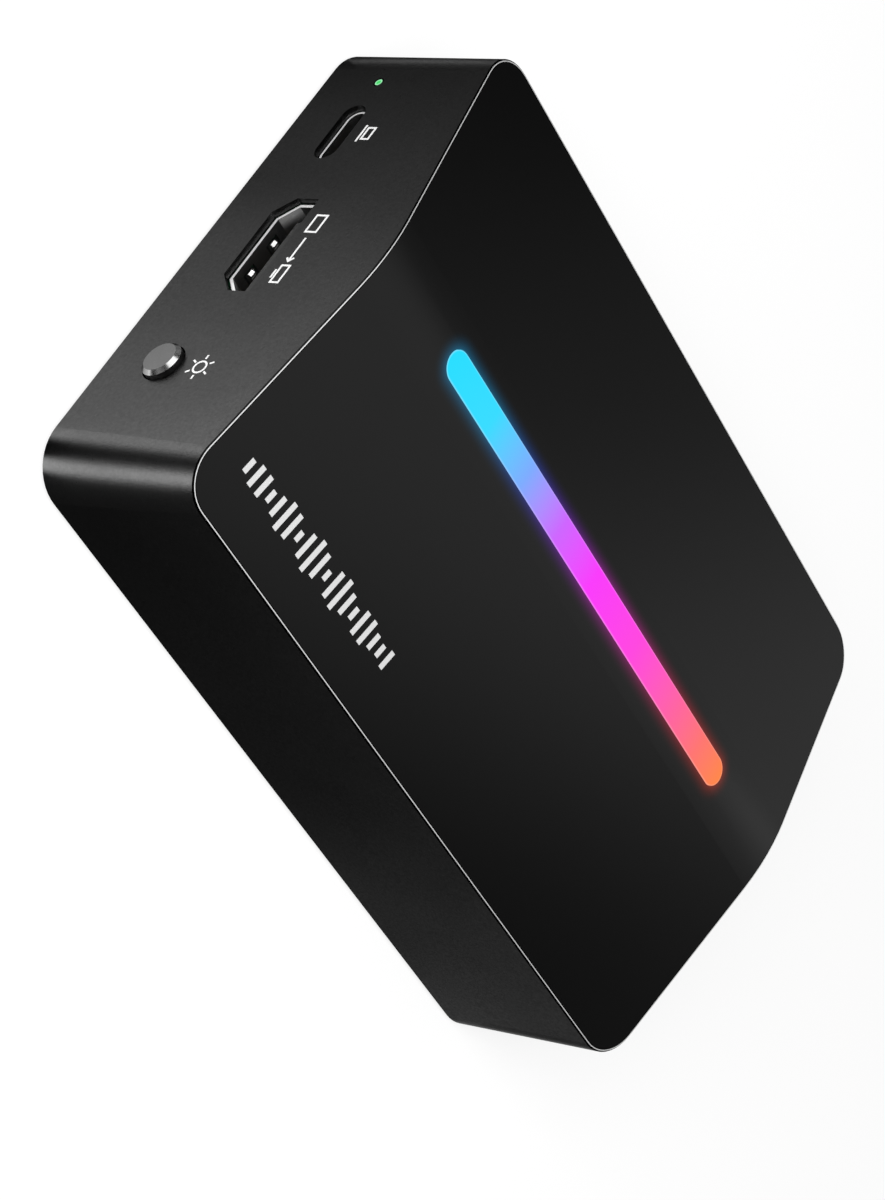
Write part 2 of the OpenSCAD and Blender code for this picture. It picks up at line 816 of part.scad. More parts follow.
// Diffuser flush with the ridge, on a flange that is bonded under the panel
module light_bar() {
    color("#b060ff") {
        intersection() {
            long_round(bar_l, bar_w, bar_low + bar_lip_t / 2, roof_peak + over);
            under_roof(0);
        }
        intersection() {
            long_round(bar_l + 2 * bar_lip, 2 * bar_lip_half, bar_low, roof_peak + over);
            under_roof(cover_drop);
        }
    }
}

// White walls between the light board and the diffuser
module light_channel() {
    color("#f2f2f0") translate([0, 0, led_top]) linear_extrude(channel_h) difference() {
        square([bar_l + 2 * channel_wall, channel_inside + 2 * channel_wall], center = true);
        square([bar_l, channel_inside], center = true);
    }
}

module led_board() {
    color("#f4f4f4") difference() {
        translate([-led_board_l / 2, -led_board_w / 2, led_low])
            cube([led_board_l, led_board_w, led_board_t]);
        for (i = signs)
            translate([i * led_screw_x, 0, led_low - over])
                cylinder(h = led_board_t + 2 * over, r = screw_r + screw_gap);
    }
}

module led_chips() {
    color("#fffbe8") for (k = [0 : led_count - 1])
        translate([(k - (led_count - 1) / 2) * led_pitch, 0, led_top]) difference() {
            translate([-led_side / 2, -led_side / 2, 0]) cube([led_side, led_side, led_h]);
            translate([0, 0, led_h / 2]) cylinder(h = led_h, r = led_side / 2 - led_rim);
        }
}

module led_board_screws() {
    color("#8a8a8c") for (i = signs)
        translate([i * led_screw_x, 0, led_low]) screw_up(screw_l - screw_spare);
}

// Flat cable in one open loop between the two headers
module led_cable() {
    start = header_x + header_l - header_grip;
    bend_x = header_x + header_l + cable_run;
    color("#e8e8ea") translate([0, header_y + cable_w / 2, 0]) rotate([90, 0, 0]) linear_extrude(cable_w) {
        for (z = [cable_high, cable_deep])
            translate([start, z - cable_t / 2]) square([bend_x - start, cable_t]);
        intersection() {
            translate([bend_x, (cable_high + cable_deep) / 2]) difference() {
                circle(cable_bend + cable_t / 2);
                circle(cable_bend - cable_t / 2);
            }
            translate([bend_x, cable_deep - cable_t]) square(2 * cable_bend + 2 * cable_t);
        }
    }
}

// Headers that the cable enters, one under the light board and one on the main board
module cable_headers() {
    mouth_x = header_x + header_l - header_grip - fit_gap;
    color("#efe9dc") for (z = [cable_high, cable_deep]) difference() {
        translate([header_x, header_y - cable_w / 2 - header_rim, z - header_h / 2])
            cube([header_l, cable_w + 2 * header_rim, header_h]);
        translate([mouth_x, header_y - cable_w / 2 - fit_gap, z - cable_t / 2 - fit_gap])
            cube([header_l, cable_w + 2 * fit_gap, cable_t + 2 * fit_gap]);
    }
}

// Board with cut corners, room for the bosses, screw holes and slots for the shells' legs
module main_board() {
    x = board_end;
    y = board_side;
    c = board_corner;
    color("#12321f") difference() {
        translate([0, 0, board_low]) linear_extrude(board_t)
            polygon([
                [-x, -y + c], [-x + c, -y], [x - c, -y], [x, -y + c],
                [x, y - c], [x - c, y], [-x + c, y], [-x, y - c]
            ]);
        for (p = boss_points) {
            room = boss_r + board_gap;
            out = sign(p[1]);
            translate([p[0], p[1], board_low - over]) cylinder(h = board_t + 2 * over, r = room);
            translate([p[0] - room, out > 0 ? p[1] : -body_w / 2 - over, board_low - over])
                cube([2 * room, boss_edge + over, board_t + 2 * over]);
        }
        for (p = standoff_points)
            translate([p[0], p[1], board_low - over])
                cylinder(h = board_t + 2 * over, r = screw_r + screw_gap);
        translate([0, hdmi_out_y, 0]) hdmi_legs(leg_gap);
        far_end() translate([0, hdmi_in_y, 0]) hdmi_legs(leg_gap);
        translate([0, usb_y, 0]) usb_legs(leg_gap);
    }
}

module board_screws() {
    color("#8a8a8c") for (p = standoff_points)
        translate([p[0], p[1], board_top]) mirror([0, 0, 1]) screw_up(screw_l - screw_spare);
}

// A chip's package on the board, with a round mark sunk in one corner
module chip(at, size) {
    translate([at[0], at[1], board_top]) difference() {
        translate([-size[0] / 2, -size[1] / 2, 0]) cube(size);
        translate([-size[0] / 2 + mark_in, size[1] / 2 - mark_in, size[2] - mark_deep])
            cylinder(h = over, r = mark_r);
    }
}

module capture_chip() {
    color("#202024") chip(capture_at, [capture_side, capture_side, capture_h]);
}

module video_chip() {
    color("#202024") chip(video_at, [video_side, video_side, video_h]);
}

module memory_chip() {
    color("#202024") chip(memory_at, memory_size);
}

module crystal() {
    color("silver") chip(crystal_at, crystal_size);
}

// Coils in square cases with cut corners
module power_inductors() {
    half = inductor_side / 2;
    long = half - inductor_cut;
    color("#4a4a4e") for (y = inductor_ys)
        translate([inductor_x, y, board_top]) linear_extrude(inductor_h) polygon([
            for (a = [0 : 90 : 270], side = [-long, long])
                [half * cos(a) - side * sin(a), half * sin(a) + side * cos(a)]
        ]);
}

// Can capacitors on square feet
module capacitors() {
    color("#b8bcc2") for (p = capacitor_at) translate([p[0], p[1], board_top]) {
        translate([-capacitor_r, -capacitor_r, 0])
            cube([2 * capacitor_r, 2 * capacitor_r, capacitor_foot]);
        cylinder(h = capacitor_h, r = capacitor_r - capacitor_step);
    }
}

module thermal_pad() {
    half = capture_side / 2;
    color("#8fb0c8") translate([capture_at[0] - half, capture_at[1] - half, board_top + capture_h])
        cube([capture_side, capture_side, pad_t]);
}

// Finned sink on the thermal pad
module heat_sink() {
    pitch = sink_side / (sink_fins - 1 + fin_share);
    color("#2c2c30") translate([capture_at[0] - sink_side / 2, capture_at[1] - sink_side / 2, sink_z]) {
        cube([sink_side, sink_side, sink_base]);
        for (k = [0 : sink_fins - 1])
            translate([0, k * pitch, 0]) cube([sink_side, pitch * fin_share, sink_h]);
    }
}

module hdmi_out_shell() {
    color("#c8c8cc") translate([0, hdmi_out_y, 0]) hdmi_shell();
}

module hdmi_out_tongue() {
    color("#161616") translate([0, hdmi_out_y, 0]) hdmi_tongue();
}

module hdmi_out_contacts() {
    color("#d8b45a") translate([0, hdmi_out_y, 0]) hdmi_contacts();
}

module hdmi_in_shell() {
    color("#c8c8cc") far_end() translate([0, hdmi_in_y, 0]) hdmi_shell();
}

module hdmi_in_tongue() {
    color("#161616") far_end() translate([0, hdmi_in_y, 0]) hdmi_tongue();
}

module hdmi_in_contacts() {
    color("#d8b45a") far_end() translate([0, hdmi_in_y, 0]) hdmi_contacts();
}

// Oval metal shell with two pairs of legs
module usb_shell() {
    color("#c8c8cc") translate([0, usb_y, 0]) {
        translate([0, 0, usb_mid]) into_box(0, usb_depth) difference() {
            usb_outline(usb_wall);
            usb_outline(0);
        }
        difference() {
            usb_legs(0);
            translate([0, 0, usb_mid]) into_box(-over, usb_depth + 2 * over) usb_outline(usb_wall / 2);
        }
    }
}

module usb_tongue() {
    color("#161616") translate([0, usb_y, 0]) {
        translate([0, 0, usb_mid]) into_box(usb_depth - usb_block, usb_block) usb_outline(-fit_gap);
        translate([-socket_x + usb_tongue_back, -usb_tongue_w / 2, usb_mid - usb_tongue_t / 2])
            cube([usb_depth - usb_block - usb_tongue_back + bite, usb_tongue_w, usb_tongue_t]);
    }
}

module usb_contacts() {
    color("#d8b45a") translate([0, usb_y, 0])
        contact_rows(usb_mid, usb_tongue_t, usb_row, usb_pitch, usb_contact_w, usb_contact_t,
            usb_tongue_back + contact_setback, usb_depth - usb_block, 0);
}

module mic_jack() {
    color("#1a1a1a") audio_jack(jack_ys[0]);
}

module phones_jack() {
    color("#1a1a1a") audio_jack(jack_ys[1]);
}

module jack_contacts() {
    color("#c8c8cc") for (y = jack_ys, j = signs) jack_leaf(y, j);
}

// Button with a bevelled front, a flange behind the wall and a stem to the switch
module button_cap() {
    front = -port_face - button_proud;
    flange = button_flange_x - front;
    stem = button_stem_end - front;
    color("#2a2a2c") translate([front, button_y, button_z]) rotate([0, 90, 0]) rotate_extrude()
        polygon([
            [0, 0], [button_r - button_bevel, 0], [button_r, button_bevel], [button_r, flange],
            [button_flange_r, flange], [button_flange_r, flange + button_flange_t],
            [button_stem_r, flange + button_flange_t], [button_stem_r, stem], [0, stem]
        ]);
}

module switch_plunger() {
    color("#d8d8d8") translate([button_stem_end, button_y, button_z]) rotate([0, 90, 0])
        cylinder(h = switch_case_front - button_stem_end + plunger_in, r = plunger_r);
}

// Case of the side push switch, with a well for the plunger
module switch_case() {
    color("#1d1d1f") difference() {
        translate([switch_case_front, button_y - switch_w / 2, board_top])
            cube([switch_depth, switch_w, switch_h]);
        translate([switch_case_front - over, button_y, button_z]) rotate([0, 90, 0])
            cylinder(h = plunger_room + over, r = plunger_r + plunger_gap);
    }
}

// Steel plate on the front of the switch, turned over its top
module switch_cover() {
    color("silver") difference() {
        translate([switch_front, button_y - switch_w / 2, board_top]) {
            cube([switch_cover_t, switch_w, switch_h + switch_cover_t]);
            translate([0, 0, switch_h]) cube([switch_depth / 2, switch_w, switch_cover_t]);
        }
        translate([switch_front - over, button_y, button_z]) rotate([0, 90, 0])
            cylinder(h = switch_cover_t + 2 * over, r = plunger_r + plunger_gap);
    }
}

module switch_pins() {
    step = switch_depth - switch_pin[0] - 2 * switch_pin_in;
    color("silver") for (j = signs, k = [0, 1])
        translate([
            switch_case_front + switch_pin_in + k * step,
            button_y + (j > 0 ? switch_w / 2 : -switch_w / 2 - switch_pin[1]),
            board_top
        ]) cube(switch_pin);
}

// Clear rod through the end wall, with a collar behind it
module status_lens() {
    collar = status_face - port_back + button_seat_gap;
    color("#40e070") translate([-status_face, status_y, status_z]) rotate([0, 90, 0]) {
        cylinder(h = status_end, r = status_r);
        translate([0, 0, collar]) cylinder(h = status_collar_t, r = status_collar_r);
    }
}

module status_led() {
    color("#e8ffe8") translate([-status_face + status_end + fit_gap, status_y - status_led_w / 2, board_top])
        cube([status_led_t, status_led_w, status_lift + status_r]);
}

body_frame();
top_cover();
base_cover();
rubber_feet();
base_screws();
light_bar();
light_channel();
led_board();
led_chips();
led_board_screws();
led_cable();
cable_headers();
main_board();
board_screws();
capture_chip();
video_chip();
memory_chip();
crystal();
power_inductors();
capacitors();
thermal_pad();
heat_sink();
hdmi_out_shell();
hdmi_out_tongue();
hdmi_out_contacts();
hdmi_in_shell();
hdmi_in_tongue();
hdmi_in_contacts();
usb_shell();
usb_tongue();
usb_contacts();
mic_jack();
phones_jack();
jack_contacts();
button_cap();
switch_plunger();
switch_case();
switch_cover();
switch_pins();
status_lens();
status_led();
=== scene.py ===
"""Looks of a video capture box: its finishes, printed signs, studio and camera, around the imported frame."""

import json
import logging
import math
from dataclasses import dataclass
from enum import Enum
from typing import Any, Iterator, Sequence

import bpy
from mathutils import Matrix, Vector
from mathutils.bvhtree import BVHTree

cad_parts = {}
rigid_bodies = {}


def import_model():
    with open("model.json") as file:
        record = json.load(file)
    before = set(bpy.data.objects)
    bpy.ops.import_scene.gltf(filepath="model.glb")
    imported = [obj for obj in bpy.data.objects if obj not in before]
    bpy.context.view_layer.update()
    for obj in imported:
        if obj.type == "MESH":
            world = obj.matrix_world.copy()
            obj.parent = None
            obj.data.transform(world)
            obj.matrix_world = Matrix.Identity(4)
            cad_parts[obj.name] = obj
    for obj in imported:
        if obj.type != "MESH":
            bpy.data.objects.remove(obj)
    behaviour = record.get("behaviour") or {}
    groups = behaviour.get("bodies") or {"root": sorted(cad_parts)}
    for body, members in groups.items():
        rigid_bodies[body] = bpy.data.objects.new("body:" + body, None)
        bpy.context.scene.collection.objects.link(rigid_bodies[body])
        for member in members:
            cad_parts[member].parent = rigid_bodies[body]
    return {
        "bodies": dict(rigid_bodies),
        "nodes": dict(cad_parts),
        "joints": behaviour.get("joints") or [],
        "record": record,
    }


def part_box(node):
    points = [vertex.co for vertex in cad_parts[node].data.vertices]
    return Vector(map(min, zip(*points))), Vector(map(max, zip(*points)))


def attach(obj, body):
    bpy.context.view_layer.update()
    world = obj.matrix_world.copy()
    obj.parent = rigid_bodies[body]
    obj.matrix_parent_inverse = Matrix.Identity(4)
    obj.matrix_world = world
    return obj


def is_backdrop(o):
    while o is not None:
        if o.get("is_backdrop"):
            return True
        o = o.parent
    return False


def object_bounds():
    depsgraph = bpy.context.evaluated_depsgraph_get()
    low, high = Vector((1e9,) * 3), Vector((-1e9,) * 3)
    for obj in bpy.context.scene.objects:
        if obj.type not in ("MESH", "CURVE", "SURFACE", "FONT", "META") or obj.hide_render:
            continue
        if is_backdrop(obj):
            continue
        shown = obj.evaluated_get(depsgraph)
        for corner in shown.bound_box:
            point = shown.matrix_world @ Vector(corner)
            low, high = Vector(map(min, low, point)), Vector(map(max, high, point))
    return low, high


Triple = tuple[float, float, float]
Point = tuple[float, float]
Levels = tuple[tuple[float, float], ...]
Look = dict[str, Any]
Socket = bpy.types.NodeSocket

LOG = logging.getLogger("capture_box")
MM = 0.001
UP: Triple = (0.0, 0.0, 1.0)
TO_NEAR_END: Triple = (-1.0, 0.0, 0.0)
# No face leans more than 1 towards an axis, so a band that ends here has no upper limit
NO_LIMIT = 2.0
# Watts for each square metre of a lamp's face at a level of 1
LAMP_WATTS = 4.0


def display(red: int, green: int, blue: int) -> Triple:
    """Turns a colour as a screen shows it into the linear values that shaders take.

    Args:
        red: Red from 0 to 255.
        green: Green from 0 to 255.
        blue: Blue from 0 to 255.

    Returns:
        The three linear values.
    """
    def linear(level: int) -> float:
        """One channel in linear light."""
        share = level / 255
        return share / 12.92 if share <= 0.04045 else ((share + 0.055) / 1.055) ** 2.4

    return linear(red), linear(green), linear(blue)


def grey(level: float) -> Triple:
    """A neutral linear colour."""
    return level, level, level


BLACK = grey(0.0)
WHITE = grey(1.0)


def round_points(centre: Point, radius: float, count: int) -> tuple[Point, ...]:
    """Points spaced evenly round a centre.

    Args:
        centre: The centre.
        radius: Distance of the points from it.
        count: Number of points.

    Returns:
        The points.
    """
    x, y = centre
    turns = [2 * math.pi * index / count for index in range(count)]
    return tuple((x + radius * math.cos(turn), y + radius * math.sin(turn)) for turn in turns)


class Body(Enum):
    """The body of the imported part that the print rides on."""

    CASE = "case"


class Slot(Enum):
    """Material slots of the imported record."""

    FRAME_METAL = "frame_metal"
    COVER_PLASTIC = "cover_plastic"
    BASE_PLASTIC = "base_plastic"
    FOOT_RUBBER = "foot_rubber"
    SCREW_STEEL = "screw_steel"
    LIGHT_DIFFUSER = "light_diffuser"
    WHITE_PLASTIC = "white_plastic"
    LIGHT_BOARD = "light_board"
    LIGHT_CHIP = "light_chip"
    CIRCUIT_BOARD = "circuit_board"
    CHIP_PACKAGE = "chip_package"
    BRIGHT_CAN = "bright_can"
    THERMAL_GEL = "thermal_gel"
    SINK_METAL = "sink_metal"
    SOCKET_SHELL = "socket_shell"
    SOCKET_PLASTIC = "socket_plastic"
    CONTACT_GOLD = "contact_gold"
    BUTTON_METAL = "button_metal"
    PLUNGER_PLASTIC = "plunger_plastic"
    STATUS_WINDOW = "status_window"


class Effect(Enum):
    """Surface effects that several finishes share, each made once as a node group."""

    FINE_GRAIN = "fine_grain"
    TONE_DRIFT = "tone_drift"
    FACET_BAND = "facet_band"
    AXIS_DISTANCE = "axis_distance"
    BAR_OUTLINE = "bar_outline"
    LIGHT_RUN = "light_run"


class Graph:
    """Makes and joins shader nodes in one node tree."""

    def __init__(self, tree: bpy.types.NodeTree) -> None:
        """Keeps the tree that nodes go into."""
        self.tree = tree

    def node(self, kind: str, inputs: dict[Any, Any] | None = None, **settings: Any) -> bpy.types.Node:
        """Adds a node and feeds its inputs.

        Args:
            kind: Blender's type name of the node.
            inputs: A value or an output socket for each input, by name or index.
            settings: Properties of the node.

        Returns:
            The node.
        """
        made = self.tree.nodes.new(kind)
        for key, value in settings.items():
            setattr(made, key, value)
        for key, value in (inputs or {}).items():
            self.feed(made.inputs[key], value)
        return made

    def feed(self, socket: Socket, value: Any) -> None:
        """Links an output to a socket, or sets the socket's own value.

        Args:
            socket: The input socket.
            value: An output socket or a plain value.
        """
        if isinstance(value, Socket):
            self.tree.links.new(value, socket)
        elif isinstance(value, tuple) and len(value) == 3 and socket.type == "RGBA":
            socket.default_value = (*value, 1.0)
        else:
            socket.default_value = value

    def math(self, operation: str, *values: Any) -> Socket:
        """The result of a math node."""
        return self.node("ShaderNodeMath", dict(enumerate(values)), operation=operation).outputs[0]

    def vector(self, operation: str, *values: Any) -> bpy.types.Node:
        """A vector math node."""
        return self.node("ShaderNodeVectorMath", dict(enumerate(values)), operation=operation)

    def step(self, value: Any, low: Any, high: Any) -> Socket:
        """A smooth rise from 0 at low to 1 at high."""
        ends = {"Value": value, "From Min": low, "From Max": high}
        return self.node("ShaderNodeMapRange", ends, interpolation_type="SMOOTHSTEP").outputs[0]

    def around(self, value: Any, middle: float, spread: float) -> Socket:
        """A value from 0 to 1 spread about a middle."""
        ends = {"Value": value, "To Min": middle - spread, "To Max": middle + spread}
        return self.node("ShaderNodeMapRange", ends).outputs[0]

    def mix(self, share: Any, first: Any, second: Any) -> Socket:
        """A colour between two, by share."""
        return self.node("ShaderNodeMix", {0: share, 6: first, 7: second}, data_type="RGBA").outputs[2]

    def blend(self, share: Any, first: Any, second: Any) -> Any:
        """A number between two.

        Args:
            share: Share of the second number.
            first: A number or an output.
            second: A number or an output.

        Returns:
            An output, or the plain number where the two are the same.
        """
        if isinstance(first, float) and first == second:
            return first
        return self.node("ShaderNodeMix", {0: share, 2: first, 3: second}, data_type="FLOAT").outputs[0]

    def outside(self, mask: Any, value: Any) -> Socket:
        """A value that fades where a mask lies."""
        return self.math("MULTIPLY", value, self.math("SUBTRACT", 1.0, mask))

    def place(self) -> Socket:
        """The point on the object, in metres."""
        return self.node("ShaderNodeTexCoord").outputs["Object"]

    def axes(self) -> tuple[Socket, Socket, Socket]:
        """The three coordinates of the point on the object."""
        made = self.node("ShaderNodeSeparateXYZ", {0: self.place()})
        return made.outputs[0], made.outputs[1], made.outputs[2]

    def noise(self, scale: Any, detail: float = 2.0, roughness: float = 0.5) -> Socket:
        """Noise over the object.

        Args:
            scale: Cells per metre.
            detail: Number of finer octaves.
            roughness: Share of the finer octaves.

        Returns:
            A value from 0 to 1.
        """
        inputs = {"Vector": self.place(), "Scale": scale, "Detail": detail, "Roughness": roughness}
        return self.node("ShaderNodeTexNoise", inputs).outputs[0]

    def bump(self, height: Any, depth: float) -> Socket:
        """A normal from a height of 0 to 1, where a height of 1 measures the depth, in metres."""
        inputs = {"Strength": 1.0, "Distance": depth, "Height": height}
        return self.node("ShaderNodeBump", inputs).outputs[0]


class Effects:
    """The shared node groups, each made by the method of its own name when first asked for."""

    COARSE_SCALE = 0.3
    COARSE_SHARE = 0.35
    LIGHT_STOPS: tuple[tuple[float, Triple], ...] = (
        (0.00, display(36, 220, 255)),
        (0.14, display(54, 218, 255)),
        (0.26, display(124, 170, 255)),
        (0.38, display(204, 100, 255)),
        (0.50, display(248, 56, 250)),
        (0.66, display(254, 68, 222)),
        (0.82, display(254, 98, 158)),
        (0.91, display(253, 115, 112)),
        (1.00, display(254, 133, 68)),
    )

    def __init__(self) -> None:
        """Starts with no group made."""
        self.made: dict[Effect, bpy.types.NodeTree] = {}

    def use(self, graph: Graph, effect: Effect, **values: Any) -> Socket:
        """Places an effect in a material.

        Args:
            graph: The material's graph.
            effect: The effect.
            values: A value or an output for each of the group's inputs.

        Returns:
            The effect's output.
        """
        if effect not in self.made:
            self.made[effect] = getattr(self, effect.value)()
        inputs = {name.replace("_", " "): value for name, value in values.items()}
        return graph.node("ShaderNodeGroup", inputs, node_tree=self.made[effect]).outputs[0]

    @staticmethod
    def start(effect: Effect, inputs: dict[str, str], output: tuple[str, str]) -> tuple[Graph, Any, Any]:
        """Makes an empty group with its sockets.

        Args:
            effect: The effect that the group is for.
            inputs: The kind of each input, by name.
            output: The output's name and kind.

        Returns:
            The group's graph, its inputs and its output socket.
        """
        tree = bpy.data.node_groups.new(effect.value, "ShaderNodeTree")
        for name, kind in inputs.items():
            tree.interface.new_socket(name=name, in_out="INPUT", socket_type="NodeSocket" + kind)
        tree.interface.new_socket(name=output[0], in_out="OUTPUT", socket_type="NodeSocket" + output[1])
        graph = Graph(tree)
        return graph, graph.node("NodeGroupInput").outputs, graph.node("NodeGroupOutput").inputs[0]

    def fine_grain(self) -> bpy.types.NodeTree:
        """Two sizes of grain, as blasted metal and moulded plastic have.

        Returns:
            The group.
        """
        graph, inputs, output = self.start(Effect.FINE_GRAIN, {"Scale": "Float"}, ("Height", "Float"))
        fine = graph.noise(inputs["Scale"], detail=2.0, roughness=0.6)
        coarse = graph.noise(graph.math("MULTIPLY", inputs["Scale"], self.COARSE_SCALE), detail=1.0)
        graph.feed(output, graph.blend(self.COARSE_SHARE, fine, coarse))
        return graph.tree

    def tone_drift(self) -> bpy.types.NodeTree:
        """Changes of tone over a surface.

        Returns:
            The group.
        """
        sockets = {"Color": "Color", "Amount": "Float", "Scale": "Float"}
        graph, inputs, output = self.start(Effect.TONE_DRIFT, sockets, ("Color", "Color"))
        wave = graph.math("SUBTRACT", graph.noise(inputs["Scale"], detail=3.0), 0.5)
        value = graph.math("MULTIPLY_ADD", wave, inputs["Amount"], 1.0)
        shaded = graph.node("ShaderNodeHueSaturation", {"Value": value, "Color": inputs["Color"]})
        graph.feed(output, shaded.outputs[0])
        return graph.tree

    def facet_band(self) -> bpy.types.NodeTree:
        """A mask of the faces whose lean towards an axis lies between two limits.

        Returns:
            The group.
        """
        sockets = {"Axis": "Vector", "Low": "Float", "High": "Float", "Soft": "Float"}
        graph, inputs, output = self.start(Effect.FACET_BAND, sockets, ("Mask", "Float"))
        normal = graph.node("ShaderNodeNewGeometry").outputs["True Normal"]
        lean = graph.vector("DOT_PRODUCT", normal, inputs["Axis"]).outputs["Value"]
        rise = graph.step(lean, graph.math("SUBTRACT", inputs["Low"], inputs["Soft"]), inputs["Low"])
        fall = graph.step(lean, inputs["High"], graph.math("ADD", inputs["High"], inputs["Soft"]))
        graph.feed(output, graph.math("SUBTRACT", rise, fall))
        return graph.tree

    def axis_distance(self) -> bpy.types.NodeTree:
        """Distance from an axis through a centre.

        Returns:
            The group.
        """
        sockets = {"Centre": "Vector", "Axis": "Vector"}
        graph, inputs, output = self.start(Effect.AXIS_DISTANCE, sockets, ("Distance", "Float"))
        arm = graph.vector("SUBTRACT", graph.place(), inputs["Centre"]).outputs[0]
        across = graph.vector("CROSS_PRODUCT", arm, inputs["Axis"]).outputs[0]
        graph.feed(output, graph.vector("LENGTH", across).outputs["Value"])
        return graph.tree

    def bar_outline(self) -> bpy.types.NodeTree:
        """Distance from the round-ended outline of the light bar, less than zero inside it.

        Returns:
            The group.
        """
        sockets = {"Half Run": "Float", "Half Width": "Float"}
        graph, inputs, output = self.start(Effect.BAR_OUTLINE, sockets, ("Distance", "Float"))
        along, across, _ = graph.axes()
        past = graph.math("SUBTRACT", graph.math("ABSOLUTE", along), inputs["Half Run"])
        past = graph.math("MAXIMUM", past, 0.0)
        arm = graph.node("ShaderNodeCombineXYZ", {0: past, 1: across}).outputs[0]
        reach = graph.vector("LENGTH", arm).outputs["Value"]
        graph.feed(output, graph.math("SUBTRACT", reach, inputs["Half Width"]))
        return graph.tree

    def light_run(self) -> bpy.types.NodeTree:
        """The run of colours along the light bar.

        Returns:
            The group.
        """
        graph, inputs, output = self.start(Effect.LIGHT_RUN, {"Half Length": "Float"}, ("Color", "Color"))
        along, _, _ = graph.axes()
        share = graph.math("MULTIPLY_ADD", graph.math("DIVIDE", along, inputs["Half Length"]), 0.5, 0.5)
        made = graph.node("ShaderNodeValToRGB", {0: share})
        stops = made.color_ramp.elements
        while len(stops) < len(self.LIGHT_STOPS):
            stops.new(1.0)
        for stop, (position, colour) in zip(stops, self.LIGHT_STOPS):
            stop.position = position
            stop.color = (*colour, 1.0)
        graph.feed(output, made.outputs[0])
        return graph.tree


class Surface(Graph):
    """The graph of one finish, with the shared effects at hand."""

    def __init__(self, tree: bpy.types.NodeTree, effects: Effects) -> None:
        """Keeps the tree and the effects."""
        super().__init__(tree)
        self.effects = effects

    def use(self, effect: Effect, **values: Any) -> Socket:
        """The output of an effect, placed with a value or an output for each of its inputs."""
        return self.effects.use(self, effect, **values)

    def grain(self, scale: float) -> Socket:
        """A fine grain of so many cells per metre."""
        return self.use(Effect.FINE_GRAIN, Scale=scale)

    def drift(self, tone: Any, amount: float, scale: float) -> Socket:
        """A tone that changes by an amount over the surface, in so many cells per metre."""
        return self.use(Effect.TONE_DRIFT, Color=tone, Amount=amount, Scale=scale)

    def facing(self, axis: Triple, lean: Point, soft: float) -> Socket:
        """A mask of the faces whose lean towards an axis lies between two limits with soft ends."""
        return self.use(Effect.FACET_BAND, Axis=axis, Low=lean[0], High=lean[1], Soft=soft)


def new_material(name: str) -> bpy.types.Material:
    """Makes a material with an empty node tree.

    Args:
        name: Name of the material.

    Returns:
        The material.
    """
    material = bpy.data.materials.new(name)
    material.use_nodes = True
    material.node_tree.nodes.clear()
    return material


@dataclass(frozen=True)
class Finish:
    """What every finish has: a name, a linear tone, and how rough it is."""

    name: str
    tone: Triple
    roughness: float

    def make(self, effects: Effects) -> bpy.types.Material:
        """Builds the material.

        Args:
            effects: The shared node groups.

        Returns:
            The material.
        """
        material = new_material(self.name)
        material.diffuse_color = (*self.tone, 1.0)
        surface = Surface(material.node_tree, effects)
        shader = surface.node("ShaderNodeBsdfPrincipled", self.look(surface))
        surface.node("ShaderNodeOutputMaterial", {"Surface": shader.outputs[0]})
        return material

    def look(self, surface: Surface) -> Look:
        """What feeds the shader.

        Args:
            surface: The material's graph.

        Returns:
            A value or an output for each input of the shader.
        """
        raise NotImplementedError


@dataclass(frozen=True)
class PaintedFacet:
    """A facet with a painted look: its faces, by their lean to +Z and height, and the tone painted on them as
    a painted highlight or a painted dark reflection.
    """

    lean: Point
    above: float
    tone: Triple
    roughness: float
    metallic: float
    soft: float = 0.02

    def mask(self, surface: Surface) -> Socket:
        """The faces that have the facet.

        Args:
            surface: The material's graph.

        Returns:
            A mask.
        """
        band = surface.facing(UP, self.lean, self.soft)
        height = surface.axes()[2]
        return surface.math("MULTIPLY", band, surface.math("GREATER_THAN", height, self.above))


@dataclass(frozen=True)
class BarShape:
    """The round-ended outline of the light bar about the middle of the roof."""

    half_length: float = 38 * MM
    half_width: float = 2 * MM

    def distance(self, surface: Surface) -> Socket:
        """How far a point lies outside the outline."""
        half_run = self.half_length - self.half_width
        return surface.use(Effect.BAR_OUTLINE, Half_Run=half_run, Half_Width=self.half_width)

    def colour(self, surface: Surface) -> Socket:
        """The light's colour along the bar."""
        return surface.use(Effect.LIGHT_RUN, Half_Length=self.half_length)


@dataclass(frozen=True)
class BlastedMetal(Finish):
    """Anodised metal with a fine blasted grain, and facets picked by their lean whose tone is painted over
    it, as a painted highlight or a painted dark reflection.
    """

    edge_tint: Triple = grey(0.35)
    grain_scale: float = 5000.0
    grain_depth: float = 0.025 * MM
    drift: float = 0.25
    drift_scale: float = 60.0
    sparkle: float = 0.5
    sparkle_scale: float = 2600.0
    spread: float = 0.08
    painted_facets: tuple[PaintedFacet, ...] = ()

    def look(self, surface: Surface) -> Look:
        """What feeds the shader.

        Args:
            surface: The material's graph.

        Returns:
            A value or an output for each input of the shader.
        """
        grain = surface.grain(self.grain_scale)
        tone = surface.drift(self.tone, self.drift, self.drift_scale)
        tone = surface.drift(tone, self.sparkle, self.sparkle_scale)
        rough = surface.around(grain, self.roughness, self.spread)
        height = grain
        metallic: Any = 1.0
        # Each painted facet lays its tone, roughness and metal over the grain, as a painted highlight or a
        # painted dark reflection.
        for cut in self.painted_facets:
            mask = cut.mask(surface)
            tone = surface.mix(mask, tone, cut.tone)
            rough = surface.blend(mask, rough, cut.roughness)
            metallic = surface.blend(mask, metallic, cut.metallic)
            height = surface.outside(mask, height)
        return {
            "Base Color": tone,
            "Roughness": rough,
            "Normal": surface.bump(height, self.grain_depth),
            "Metallic": metallic,
            "Specular Tint": self.edge_tint,
        }


